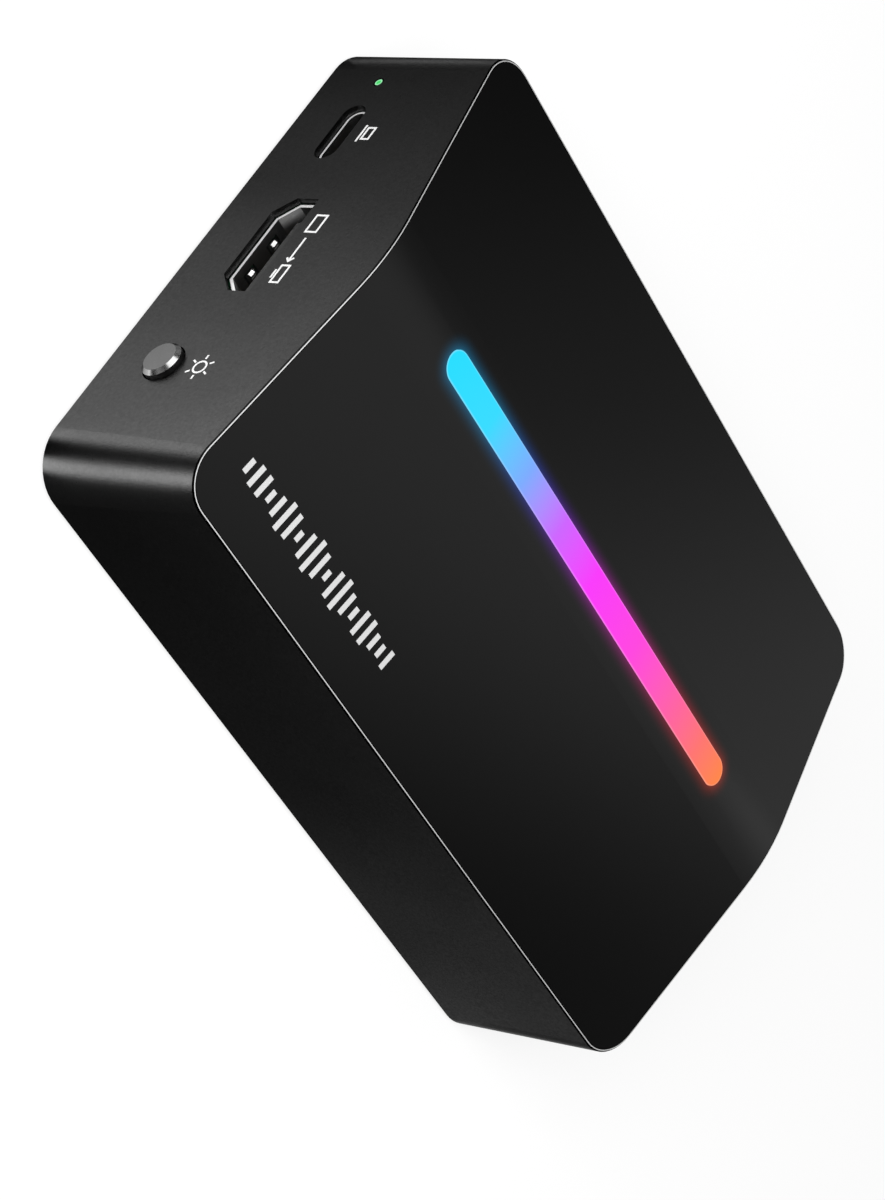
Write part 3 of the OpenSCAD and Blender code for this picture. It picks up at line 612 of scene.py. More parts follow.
@dataclass(frozen=True)
class TurnedMetal(Finish):
    """Metal turned on a lathe: rings on its face and a bright bevel where its facets lean."""

    centre: Triple = (0.0, 0.0, 0.0)
    axis: Triple = TO_NEAR_END
    pitch: float = 0.09 * MM
    ring_depth: float = 0.002 * MM
    bevel_tone: Triple = grey(0.14)
    bevel_roughness: float = 0.22
    bevel_lean: Point = (0.3, 0.9)
    bevel_soft: float = 0.02
    edge_tint: Triple = grey(0.4)
    drift: float = 0.2
    drift_scale: float = 300.0
    spread: float = 0.05

    def look(self, surface: Surface) -> Look:
        """What feeds the shader.

        Args:
            surface: The material's graph.

        Returns:
            A value or an output for each input of the shader.
        """
        radius = surface.use(Effect.AXIS_DISTANCE, Centre=self.centre, Axis=self.axis)
        turns = surface.math("MULTIPLY", surface.math("DIVIDE", radius, self.pitch), 2 * math.pi)
        rings = surface.math("MULTIPLY_ADD", surface.math("SINE", turns), 0.5, 0.5)
        bevel = surface.facing(self.axis, self.bevel_lean, self.bevel_soft)
        tone = surface.drift(self.tone, self.drift, self.drift_scale)
        rough = surface.around(rings, self.roughness, self.spread)
        return {
            "Base Color": surface.mix(bevel, tone, self.bevel_tone),
            "Roughness": surface.blend(bevel, rough, self.bevel_roughness),
            "Normal": surface.bump(surface.outside(bevel, rings), self.ring_depth),
            "Metallic": 1.0,
            "Specular Tint": self.edge_tint,
        }


@dataclass(frozen=True)
class PlatedMetal(Finish):
    """Plated sheet metal, dull inside, with bright edges at its ends, partly bare cut metal and partly a
    painted highlight.

    An edge that lies square to the axis is bright only beyond a place along it, and the slopes of a
    shell have a share of its brightness that fades inwards from there: painted light at the mouth,
    painted shade deeper in.
    """

    metallic: float = 1.0
    edge_and_highlight_tone: Triple = grey(0.8)
    edge_axis: Triple = (1.0, 0.0, 0.0)
    edge_metallic: float = 1.0
    edge_beyond: float = 0.0
    edge_soft: float = 0.05
    square_lean: Point = (0.9, NO_LIMIT)
    lead_lean: Point = (0.5, 0.8)
    painted_slope_light: float = 0.0
    slope_lean: Point = (0.70, 0.73)
    slope_soft: float = 0.01
    painted_light_fade: float = 1.6 * MM
    grain_scale: float = 9000.0
    grain_depth: float = 0.002 * MM
    drift: float = 0.3
    drift_scale: float = 400.0
    spread: float = 0.07

    def look(self, surface: Surface) -> Look:
        """What feeds the shader.

        Args:
            surface: The material's graph.

        Returns:
            A value or an output for each input of the shader.
        """
        grain = surface.grain(self.grain_scale)
        tone = surface.drift(self.tone, self.drift, self.drift_scale)
        edge = self.edge_and_highlight_mask(surface)
        return {
            "Base Color": surface.mix(edge, tone, self.edge_and_highlight_tone),
            "Roughness": surface.around(grain, self.roughness, self.spread),
            "Normal": surface.bump(grain, self.grain_depth),
            "Metallic": surface.blend(edge, self.metallic, self.edge_metallic),
        }

    def edge_and_highlight_mask(self, surface: Surface) -> Socket:
        """Where the metal is bright: bare cut edges with a painted highlight on them, and painted light on
        the slopes near the mouth.

        Args:
            surface: The material's graph.

        Returns:
            A mask.
        """
        reach = surface.vector("DOT_PRODUCT", surface.place(), self.edge_axis).outputs["Value"]
        reach = surface.math("ABSOLUTE", reach)
        outer = surface.math("GREATER_THAN", reach, self.edge_beyond)
        # Square faces beyond the mouth and leaning tips take the bright tone, a painted highlight on the bare
        # cut metal.
        sides = []
        for sign in (1.0, -1.0):
            axis = tuple(sign * part for part in self.edge_axis)
            square = surface.facing(axis, self.square_lean, self.edge_soft)
            lead = surface.facing(axis, self.lead_lean, self.edge_soft)
            sides.append(surface.math("MULTIPLY_ADD", square, outer, lead))
        edge = surface.math("ADD", *sides)
        # Painted light on the slopes, fading into painted shade away from the mouth.
        if self.painted_slope_light:
            slope = surface.facing(UP, self.slope_lean, self.slope_soft)
            near = surface.step(reach, self.edge_beyond - self.painted_light_fade, self.edge_beyond)
            share = surface.math("MULTIPLY", near, self.painted_slope_light)
            edge = surface.math("MULTIPLY_ADD", slope, share, edge)
        return edge


@dataclass(frozen=True)
class MouldedPlastic(Finish):
    """Moulded plastic with the fine texture of its tool."""

    texture_scale: float = 5000.0
    texture_depth: float = 0.004 * MM
    drift: float = 0.25
    drift_scale: float = 45.0
    specular: float = 0.5
    spread: float = 0.05

    def look(self, surface: Surface) -> Look:
        """What feeds the shader.

        Args:
            surface: The material's graph.

        Returns:
            A value or an output for each input of the shader.
        """
        grain = surface.grain(self.texture_scale)
        return {
            "Base Color": surface.drift(self.tone, self.drift, self.drift_scale),
            "Roughness": surface.around(grain, self.roughness, self.spread),
            "Normal": surface.bump(grain, self.texture_depth),
            "Specular IOR Level": self.specular,
        }


@dataclass(frozen=True)
class PrintedInk(MouldedPlastic):
    """Ink, with the slight roughness of a printed film."""

    texture_scale: float = 3000.0
    texture_depth: float = 0.003 * MM
    drift: float = 0.1


@dataclass(frozen=True)
class GlowingCover(MouldedPlastic):
    """The moulded roof panel, with a painted glow round the bar: emission painted on the cover, fading with
    distance from the bar.
    """

    bar: BarShape = BarShape()
    painted_glow_reach: float = 2.5 * MM
    painted_glow_level: float = 0.16
    painted_glow_fall: float = 3.0
    painted_glow_depth: float = 2.0

    def look(self, surface: Surface) -> Look:
        """What feeds the shader.

        Args:
            surface: The material's graph.

        Returns:
            A value or an output for each input of the shader.
        """
        # Painted glow: emission painted on the cover round the bar, brightest at its edge and fading
        # outwards.
        distance = self.bar.distance(surface)
        near = surface.math("SUBTRACT", 1.0, surface.math("DIVIDE", distance, self.painted_glow_reach))
        near = surface.math("MINIMUM", surface.math("MAXIMUM", near, 0.0), 1.0)
        level = surface.math("MULTIPLY", surface.math("POWER", near, self.painted_glow_fall), self.painted_glow_level)
        inputs = {"Color": self.bar.colour(surface), "Gamma": self.painted_glow_depth}
        deep = surface.node("ShaderNodeGamma", inputs).outputs[0]
        return {
            **super().look(surface),
            "Emission Color": surface.mix(level, BLACK, deep),
            "Emission Strength": 1.0,
        }


@dataclass(frozen=True)
class LitDiffuser(Finish):
    """The milky bar, lit from inside in a run of colours, with a painted highlight along its edge."""

    bar: BarShape = BarShape()
    edge: float = 0.2 * MM
    painted_edge_highlight: float = 0.15
    tone_share: float = 0.94
    specular: float = 0.12
    glow: float = 0.95
    grain_scale: float = 4000.0
    grain_depth: float = 0.002 * MM
    spread: float = 0.05

    def look(self, surface: Surface) -> Look:
        """What feeds the shader.

        Args:
            surface: The material's graph.

        Returns:
            A value or an output for each input of the shader.
        """
        grain = surface.grain(self.grain_scale)
        colour = self.bar.colour(surface)
        # Painted highlight: the glow turns paler towards the bar's edge.
        rim = surface.step(self.bar.distance(surface), -self.edge, 0.0)
        lift = surface.math("MULTIPLY", rim, self.painted_edge_highlight)
        return {
            "Base Color": surface.mix(self.tone_share, colour, self.tone),
            "Roughness": surface.around(grain, self.roughness, self.spread),
            "Normal": surface.bump(grain, self.grain_depth),
            "Specular IOR Level": self.specular,
            "Emission Color": surface.mix(lift, colour, WHITE),
            "Emission Strength": self.glow,
        }


@dataclass(frozen=True)
class StatusWindow(Finish):
    """The clear end of the status light's rod, lit green and palest at its rim."""

    centre: Triple = (0.0, 0.0, 0.0)
    axis: Triple = TO_NEAR_END
    radius: float = 0.5 * MM
    rim_from: float = 0.4
    rim_tone: Triple = display(165, 248, 190)
    front_lean: Point = (0.9, NO_LIMIT)
    front_soft: float = 0.05
    dark_tone: Triple = grey(0.01)
    dark_share: float = 0.95
    glow: float = 0.9
    drift: float = 0.1
    drift_scale: float = 900.0

    def look(self, surface: Surface) -> Look:
        """What feeds the shader.

        Args:
            surface: The material's graph.

        Returns:
            A value or an output for each input of the shader.
        """
        distance = surface.use(Effect.AXIS_DISTANCE, Centre=self.centre, Axis=self.axis)
        rim = surface.step(distance, self.rim_from * self.radius, self.radius)
        colour = surface.mix(rim, self.tone, self.rim_tone)
        front = surface.facing(self.axis, self.front_lean, self.front_soft)
        lit = surface.drift(colour, self.drift, self.drift_scale)
        return {
            "Base Color": surface.mix(self.dark_share, colour, self.dark_tone),
            "Roughness": self.roughness,
            "Emission Color": surface.mix(front, BLACK, lit),
            "Emission Strength": self.glow,
        }


@dataclass(frozen=True)
class SolderMask(Finish):
    """A circuit board: lacquer over rows of tracks, which run along in some zones and across in others."""

    track_tone: Triple = display(30, 92, 56)
    track_pitch: float = 1.1 * MM
    track_edge: Point = (0.3, 0.6)
    track_depth: float = 0.03 * MM
    track_gloss: float = 0.1
    zone_scale: float = 70.0
    zone_edge: Point = (0.49, 0.51)
    drift: float = 0.2
    drift_scale: float = 90.0

    def look(self, surface: Surface) -> Look:
        """What feeds the shader.

        Args:
            surface: The material's graph.

        Returns:
            A value or an output for each input of the shader.
        """
        along, across, _ = surface.axes()
        zone = surface.step(surface.noise(self.zone_scale, detail=0.0), *self.zone_edge)
        run = surface.blend(zone, along, across)
        wave = surface.math("SINE", surface.math("MULTIPLY", run, 2 * math.pi / self.track_pitch))
        track = surface.step(wave, *self.track_edge)
        tone = surface.drift(self.tone, self.drift, self.drift_scale)
        return {
            "Base Color": surface.mix(track, tone, self.track_tone),
            "Roughness": surface.blend(track, self.roughness, self.roughness - self.track_gloss),
            "Normal": surface.bump(track, self.track_depth),
        }


class Kit:
    """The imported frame, its nodes by slot, and the means to dress them."""

    def __init__(self, frame: dict[str, Any]) -> None:
        """Sorts the frame's nodes by the slot that the record gives them.

        Args:
            frame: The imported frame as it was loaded.
        """
        self.nodes: dict[str, bpy.types.Object] = frame["nodes"]
        self.effects = Effects()
        self.by_slot: dict[Slot, list[str]] = {slot: [] for slot in Slot}
        for row in frame["record"]["subparts"]:
            self.by_slot[Slot(row["material_slot"])].append(row["node"])

    def dress(self, finishes: dict[Slot, Finish]) -> None:
        """Gives every node of some slots its finish.

        Args:
            finishes: The finish of each slot.
        """
        for slot, finish in finishes.items():
            material = finish.make(self.effects)
            for name in self.by_slot[slot]:
                mesh = self.nodes[name].data
                mesh.materials.clear()
                mesh.materials.append(material)
                LOG.info("%s has the finish %s", name, finish.name)

    def middle(self, slot: Slot) -> Triple:
        """The middle of the first node of a slot."""
        low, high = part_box(self.by_slot[slot][0])
        return tuple((low + high) / 2)


@dataclass
class Casing:
    """Frame, roof panel, base, feet and the screws under the base."""

    rim_low: float = 23.5 * MM
    bevel_lean: Point = (0.3, 0.9)
    highlight_land_lean: Point = (0.93, NO_LIMIT)

    def dress(self, kit: Kit) -> None:
        """Dresses the casing's nodes.

        Args:
            kit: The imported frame.
        """
        # The rim's chamfer is painted near black as a painted dark reflection, and its land near white as a
        # painted highlight line.
        bevel = PaintedFacet(self.bevel_lean, self.rim_low, grey(0.003), roughness=0.3, metallic=1.0)
        painted_highlight_land = PaintedFacet(self.highlight_land_lean, self.rim_low, grey(0.95), roughness=0.25, metallic=0.5)
        kit.dress({
            Slot.FRAME_METAL: BlastedMetal("blasted_black_metal", grey(0.045), 0.30, painted_facets=(bevel, painted_highlight_land)),
            Slot.COVER_PLASTIC: GlowingCover(
                "satin_black_moulding", grey(0.0012), 0.3,
                texture_scale=9000.0, texture_depth=0.0015 * MM, drift=0.3, specular=0.4,
            ),
            Slot.BASE_PLASTIC: MouldedPlastic(
                "textured_black_moulding", grey(0.018), 0.62, texture_scale=2600.0, texture_depth=0.03 * MM
            ),
            Slot.FOOT_RUBBER: MouldedPlastic(
                "soft_black_rubber", grey(0.012), 0.8, texture_scale=1800.0, texture_depth=0.02 * MM
            ),
            Slot.SCREW_STEEL: PlatedMetal("dark_plated_steel", grey(0.16), 0.35, edge_and_highlight_tone=grey(0.3)),
        })


@dataclass
class LightStrip:
    """Diffuser bar, its white channel, the light board and its chips."""

    def dress(self, kit: Kit) -> None:
        """Dresses the light strip's nodes.

        Args:
            kit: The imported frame.
        """
        kit.dress({
            Slot.LIGHT_DIFFUSER: LitDiffuser("lit_milky_diffuser", BLACK, 0.35),
            Slot.WHITE_PLASTIC: MouldedPlastic("white_moulding", grey(0.8), 0.5, drift=0.08),
            Slot.LIGHT_BOARD: SolderMask("white_lacquered_board", grey(0.78), 0.4, track_tone=grey(0.7)),
            Slot.LIGHT_CHIP: MouldedPlastic("chip_cup", (0.9, 0.86, 0.72), 0.45, drift=0.1),
        })


@dataclass
class Electronics:
    """Main board and what is soldered to it."""

    def dress(self, kit: Kit) -> None:
        """Dresses the boards' nodes.

        Args:
            kit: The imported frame.
        """
        kit.dress({
            Slot.CIRCUIT_BOARD: SolderMask("green_lacquered_board", display(18, 62, 38), 0.42),
            Slot.CHIP_PACKAGE: MouldedPlastic(
                "black_chip_moulding", grey(0.03), 0.55, texture_scale=7000.0, texture_depth=0.006 * MM
            ),
            Slot.BRIGHT_CAN: PlatedMetal("drawn_can", grey(0.6), 0.3, edge_and_highlight_tone=grey(0.7)),
            Slot.THERMAL_GEL: MouldedPlastic(
                "soft_gel_pad", (0.33, 0.45, 0.55), 0.7, texture_scale=900.0, texture_depth=0.02 * MM
            ),
            Slot.SINK_METAL: BlastedMetal("black_sink_metal", grey(0.08), 0.45),
        })


@dataclass
class Sockets:
    """Socket shells, their tongues and contacts, and the audio jacks."""

    mouth: float = 53.3 * MM

    def dress(self, kit: Kit) -> None:
        """Dresses the sockets' nodes.

        Args:
            kit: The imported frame.
        """
        kit.dress({
            # The shell's bright lip and tips are a painted highlight on bare cut metal, and its slopes carry
            # painted light that fades inwards.
            Slot.SOCKET_SHELL: PlatedMetal(
                "nickel_shell", grey(0.15), 0.3, metallic=0.97,
                edge_and_highlight_tone=grey(0.92), edge_metallic=0.25, edge_beyond=self.mouth, painted_slope_light=0.36,
            ),
            Slot.SOCKET_PLASTIC: MouldedPlastic("black_socket_moulding", grey(0.012), 0.5),
            Slot.CONTACT_GOLD: PlatedMetal(
                "gold_contact", (0.75, 0.52, 0.2), 0.28, edge_and_highlight_tone=(0.8, 0.58, 0.25)
            ),
        })


@dataclass
class PushButton:
    """Light button, the plunger behind it and the status light beside the sockets."""

    def dress(self, kit: Kit) -> None:
        """Dresses the button's and the status light's nodes.

        Args:
            kit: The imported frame.
        """
        kit.dress({
            Slot.BUTTON_METAL: TurnedMetal(
                "turned_black_metal", grey(0.09), 0.36, centre=kit.middle(Slot.BUTTON_METAL)
            ),
            Slot.PLUNGER_PLASTIC: MouldedPlastic("pale_plunger_moulding", grey(0.7), 0.5, drift=0.08),
            Slot.STATUS_WINDOW: StatusWindow(
                "lit_green_window", display(40, 215, 95), 0.25, centre=kit.middle(Slot.STATUS_WINDOW)
            ),
        })


@dataclass(frozen=True)
class Stroke:
    """A printed line: its points in the sign's plane and its width, in millimetres."""

    points: tuple[Point, ...]
    width: float
    closed: bool = False
    mitre_limit: float = 0.3

    def sides(self) -> list[tuple[Point, Point]]:
        """The two edge points at each point of the line, mitred at its turns.

        Returns:
            A left and a right point for each point of the line.
        """
        count = len(self.points)
        made = []
        for index, (x, y) in enumerate(self.points):
            before = self.points[index - 1] if index or self.closed else None
            after = self.points[(index + 1) % count] if index + 1 < count or self.closed else None
            ways = []
            if before:
                ways.append((Vector((x, y)) - Vector(before)).normalized())
            if after:
                ways.append((Vector(after) - Vector((x, y))).normalized())
            normals = [Vector((-way.y, way.x)) for way in ways]
            mitre = sum(normals, Vector((0.0, 0.0))).normalized()
            out = mitre * (self.width / 2 / max(mitre.dot(normals[0]), self.mitre_limit))
            made.append(((x + out.x, y + out.y), (x - out.x, y - out.y)))
        return made


@dataclass
class Panel:
    """A face that takes print: a plane whose points are dropped on the node's own mesh."""

    node: bpy.types.Object
    origin: Vector
    right: Vector
    up: Vector
    reach: float = 4 * MM

    def __post_init__(self) -> None:
        """Works out the way off the face and reads the node's mesh."""
        mesh = self.node.data
        self.normal = self.right.cross(self.up).normalized()
        self.tree = BVHTree.FromPolygons(
            [vertex.co for vertex in mesh.vertices], [tuple(face.vertices) for face in mesh.polygons]
        )

    def drop(self, point: Point, lift: float) -> Vector:
        """Where a point of the plane lies on the mesh.

        Args:
            point: The point in the plane, in millimetres.
            lift: Height above the mesh, in metres.

        Returns:
            The point in the part's frame.
        """
        spot = self.origin + self.right * (point[0] * MM) + self.up * (point[1] * MM)
        found = self.tree.ray_cast(spot + self.normal * self.reach, -self.normal)[0]
        if found is None:
            raise ValueError(f"no face of {self.node.name} under {point}")
        return found + self.normal * lift


@dataclass
class Sign:
    """A printed sign: strokes of ink on a panel."""

    name: str
    panel: Panel
    strokes: Sequence[Stroke]
    ink: float = 0.025 * MM
    key: float = 0.01 * MM

    def build(self, material: bpy.types.Material) -> bpy.types.Object:
        """Builds the sign as closed films of ink on the case.

        Args:
            material: The ink.

        Returns:
            The sign.
        """
        points: list[Vector] = []
        faces: list[tuple[int, ...]] = []
        for stroke in self.strokes:
            start = len(points)
            sides = stroke.sides()
            for left, right in sides:
                for spot in (left, right):
                    points.append(self.panel.drop(spot, self.ink))
                    points.append(self.panel.drop(spot, -self.key))
            faces.extend(self.film(start, len(sides), stroke.closed))
        mesh = bpy.data.meshes.new(self.name)
        mesh.from_pydata(points, [], faces)
        mesh.validate()
        mesh.materials.append(material)
        piece = bpy.data.objects.new(self.name, mesh)
        bpy.context.scene.collection.objects.link(piece)
        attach(piece, Body.CASE.value)
        LOG.info("%s is printed with %d strokes", self.name, len(self.strokes))
        return piece

    @staticmethod
    def film(start: int, count: int, closed: bool) -> Iterator[tuple[int, ...]]:
        """Faces of one stroke's film.

        Args:
            start: Index of the stroke's first point.
            count: Number of points along the stroke.
            closed: Whether the stroke runs into itself.

        Yields:
            The faces.
        """
        def at(index: int) -> tuple[int, int, int, int]:
            """Left top, left low, right top and right low at a point of the stroke."""
            first = start + 4 * (index % count)
            return first, first + 1, first + 2, first + 3

        for index in range(count if closed else count - 1):
            lt, ll, rt, rl = at(index)
            lt2, ll2, rt2, rl2 = at(index + 1)
            yield lt, rt, rt2, lt2
            yield ll, ll2, rl2, rl
            yield lt, lt2, ll2, ll
            yield rt, rl, rl2, rt2
        if not closed:
            lt, ll, rt, rl = at(0)
            yield lt, ll, rl, rt
            lt, ll, rt, rl = at(count - 1)
            yield lt, rt, rl, ll


def box_stroke(left: float, low: float, width: float, height: float, line: float) -> Stroke:
    """A closed line round a box.

    Args:
        left: Left edge of the line's middle.
        low: Lower edge of the line's middle.
        width: Width.
        height: Height.
        line: Width of the line.

    Returns:
        The stroke.
    """
    corners = ((left, low), (left + width, low), (left + width, low + height), (left, low + height))
    return Stroke(corners, line, closed=True)


@dataclass
class Printing:
    """The signs on the near end wall and the motif on the roof panel, in millimetres."""

    wall_draft: float = 2.0
    sun_at: Point = (19.28, 15.56)
    sun_ring: float = 0.86
    sun_ring_points: int = 40
    sun_rays: int = 6
    sun_inner: float = 1.25
    sun_outer: float = 1.85
    sun_line: float = 0.24
    screen_at: Point = (-5.2, 15.9)
    screen_size: Point = (2.7, 1.65)
    screen_shift: float = 0.5
    arrow_run: Point = (-1.5, 2.3)
    laptop_at: Point = (-20.4, 13.05)
    laptop_size: Point = (1.9, 1.1)
    laptop_foot: float = 2.8
    sign_line: float = 0.27
    motif_from: float = -48.4
    motif_to: float = -16.4
    motif_middle: float = -27.8
    motif_bars: int = 21
    motif_low: float = 1.1
    motif_high: float = 4.4
    motif_line: float = 0.72
    motif_swells: float = 5.2
    motif_phase: float = 0.5
    motif_ends: float = 0.45
    wall_ink: Finish = PrintedInk("white_ink", grey(0.9), 0.5)
    roof_ink: Finish = PrintedInk("pale_grey_ink", grey(0.64), 0.5)

    def build(self, kit: Kit) -> None:
        """Prints every sign.

        Args:
            kit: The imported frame.
        """
        ink = self.wall_ink.make(kit.effects)
        wall = self.wall(kit)
        signs = {"light_sign": self.sun(), "output_sign": self.output(), "computer_sign": self.laptop()}
        for name, strokes in signs.items():
            Sign(name, wall, strokes).build(ink)
        Sign("roof_motif", self.roof(kit), self.motif()).build(self.roof_ink.make(kit.effects))

    def wall(self, kit: Kit) -> Panel:
        """The near end wall, read from outside: right is -Y and up is +Z.

        Args:
            kit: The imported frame.

        Returns:
            The panel.
        """
        low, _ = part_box("body_frame")
        lean = math.radians(self.wall_draft)
        up = Vector((math.sin(lean), 0.0, math.cos(lean)))
        return Panel(kit.nodes["body_frame"], Vector((low.x, 0.0, 0.0)), Vector((0.0, -1.0, 0.0)), up)

    def roof(self, kit: Kit) -> Panel:
        """The roof panel, read from the -Y side: right is +X and up is +Y.

        Args:
            kit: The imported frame.

        Returns:
            The panel.
        """
        _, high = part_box("top_cover")
        origin = Vector((0.0, 0.0, high.z))
        return Panel(kit.nodes["top_cover"], origin, Vector((1.0, 0.0, 0.0)), Vector((0.0, 1.0, 0.0)))

    def sun(self) -> list[Stroke]:
        """A ring with rays, beside the light button.

        Returns:
            The strokes.
        """
        ring = round_points(self.sun_at, self.sun_ring, self.sun_ring_points)
        starts = round_points(self.sun_at, self.sun_inner, self.sun_rays)
        ends = round_points(self.sun_at, self.sun_outer, self.sun_rays)
        rays = [Stroke(ray, self.sun_line) for ray in zip(starts, ends)]
        return [Stroke(ring, self.sun_line, closed=True), *rays]

    def output(self) -> list[Stroke]:
        """A box, an arrow and a screen, over the wide socket.

        Returns:
            The strokes.
        """
        left, low = self.screen_at
        width, height = self.screen_size
        middle = low + height / 2
        start, end = self.arrow_run
        head = height / 3
        line = self.sign_line
        screen = -left - width + self.screen_shift
        return [
            box_stroke(left, low, width, height, line),
            Stroke(((start, middle), (end - line, middle)), line),
            Stroke(((end - head, middle + head), (end, middle), (end - head, middle - head)), line),
            box_stroke(screen, low + height / 4, width, height * 3 / 4, line),
            Stroke(((screen + width / 4, low), (screen + width * 3 / 4, low)), line),
        ]

    def laptop(self) -> list[Stroke]:
        """A screen over a foot, beside the small socket.

        Returns:
            The strokes.
        """
        left, low = self.laptop_at
        width, height = self.laptop_size
        side = (self.laptop_foot - width) / 2
        line = self.sign_line
        return [
            box_stroke(left + side, low + 2 * line, width, height, line),
            Stroke(((left, low), (left + self.laptop_foot, low)), line),
        ]

    def motif(self) -> list[Stroke]:
        """A row of bars whose heights rise and fall, on the roof panel.

        Returns:
            The strokes.
        """
        bars = []
        for index in range(self.motif_bars):
            share = index / (self.motif_bars - 1)
            arch = self.motif_ends + (1 - self.motif_ends) * math.sin(math.pi * share)
            swell = abs(math.sin(self.motif_swells * math.pi * share + self.motif_phase)) * arch
            half = (self.motif_low + (self.motif_high - self.motif_low) * swell) / 2
            x = self.motif_from + (self.motif_to - self.motif_from) * share
            ends = ((x, self.motif_middle - half), (x, self.motif_middle + half))
            bars.append(Stroke(ends, self.motif_line))
        return bars


@dataclass(frozen=True)
class Softbox:
    """A lamp with a soft face, kept out of the gloss: where it hangs, its size and how bright it is."""

    name: str
    toward: Triple
    distance: float
    size: Point
    level: float

    def build(self) -> bpy.types.Object:
        """Hangs the lamp so that it faces the box.

        Returns:
            The lamp.
        """
        data = bpy.data.lights.new(self.name, "AREA")
        data.shape = "RECTANGLE"
        data.size, data.size_y = self.size
        data.energy = LAMP_WATTS * self.level * self.size[0] * self.size[1]
        lamp = bpy.data.objects.new(self.name, data)
        way = Vector(self.toward).normalized()
        lamp.location = way * self.distance
        lamp.rotation_mode = "QUATERNION"
        lamp.rotation_quaternion = way.to_track_quat("Z", "Y")
        lamp.visible_camera = False
        lamp.visible_glossy = False
        bpy.context.scene.collection.objects.link(lamp)
        return lamp


@dataclass(frozen=True)
class GlossCard:
    """A card beside the box that only shows in its gloss, in millimetres.

    It spans two edges with as many points each, and its tone runs along them.
    """

    name: str
    near: tuple[Triple, ...]
    far: tuple[Triple, ...]
    levels: Levels

    @classmethod
    def sheet(cls, name: str, corner: Triple, along: Triple, across: Triple, levels: Levels) -> "GlossCard":
        """A flat four-sided card.

        Args:
            name: Name of the card.
            corner: Where it starts.
            along: The way its tone runs.
            across: The way to its other edge.
            levels: How bright it is at shares of its run.

        Returns:
            The card.
        """
        start = Vector(corner)
        near = (tuple(start), tuple(start + Vector(along)))
        far = tuple(tuple(Vector(point) + Vector(across)) for point in near)
        return cls(name, near, far, levels)

    @classmethod
    def fan(
        cls, name: str, centre: Triple, radii: Point, turns: Point, levels: Levels, steps: int = 60
    ) -> "GlossCard":
        """A flat card round a corner, whose tone runs with the angle.

        Args:
            name: Name of the card.
            centre: Middle of its arcs.
            radii: Inner and outer radius.
            turns: First and last angle, in degrees.
            levels: How bright it is at shares of its run.
            steps: Number of straight pieces in each arc.

        Returns:
            The card.
        """
        x, y, z = centre
        first, last = turns
        ways = [math.radians(first + (last - first) * step / steps) for step in range(steps + 1)]
        near, far = (
            tuple((x + radius * math.cos(way), y + radius * math.sin(way), z) for way in ways)
            for radius in radii
        )
        return cls(name, near, far, levels)

    def build(self) -> bpy.types.Object:
        """Sets the card up.

        Returns:
            The card.
        """
        count = len(self.near)
        points = [Vector(point) * MM for point in (*self.near, *self.far)]
        faces = [(index, index + 1, count + index + 1, count + index) for index in range(count - 1)]
        mesh = bpy.data.meshes.new(self.name)
        mesh.from_pydata(points, [], faces)
        layer = mesh.uv_layers.new(name="run")
        for loop in mesh.loops:
            edge, index = divmod(loop.vertex_index, count)
            layer.data[loop.index].uv = (index / (count - 1), edge)
        mesh.materials.append(self.material())
        card = bpy.data.objects.new(self.name, mesh)
        for flag in ("visible_camera", "visible_diffuse", "visible_transmission", "visible_shadow"):
            setattr(card, flag, False)
        bpy.context.scene.collection.objects.link(card)
        card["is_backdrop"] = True
        return card

    def material(self) -> bpy.types.Material:
        """The card's own glow, which changes along its run.

        Returns:
            The material.
        """
        material = new_material(self.name)
        graph = Graph(material.node_tree)
        place = graph.node("ShaderNodeTexCoord").outputs["UV"]
        run = graph.node("ShaderNodeSeparateXYZ", {0: place}).outputs[0]
        level: Any = self.levels[0][1]
        for (before, _), (after, value) in zip(self.levels, self.levels[1:]):
            level = graph.blend(graph.step(run, before, after), level, value)
        glow = graph.node("ShaderNodeEmission", {"Color": WHITE, "Strength": level})
        graph.node("ShaderNodeOutputMaterial", {"Surface": glow.outputs[0]})
        return material


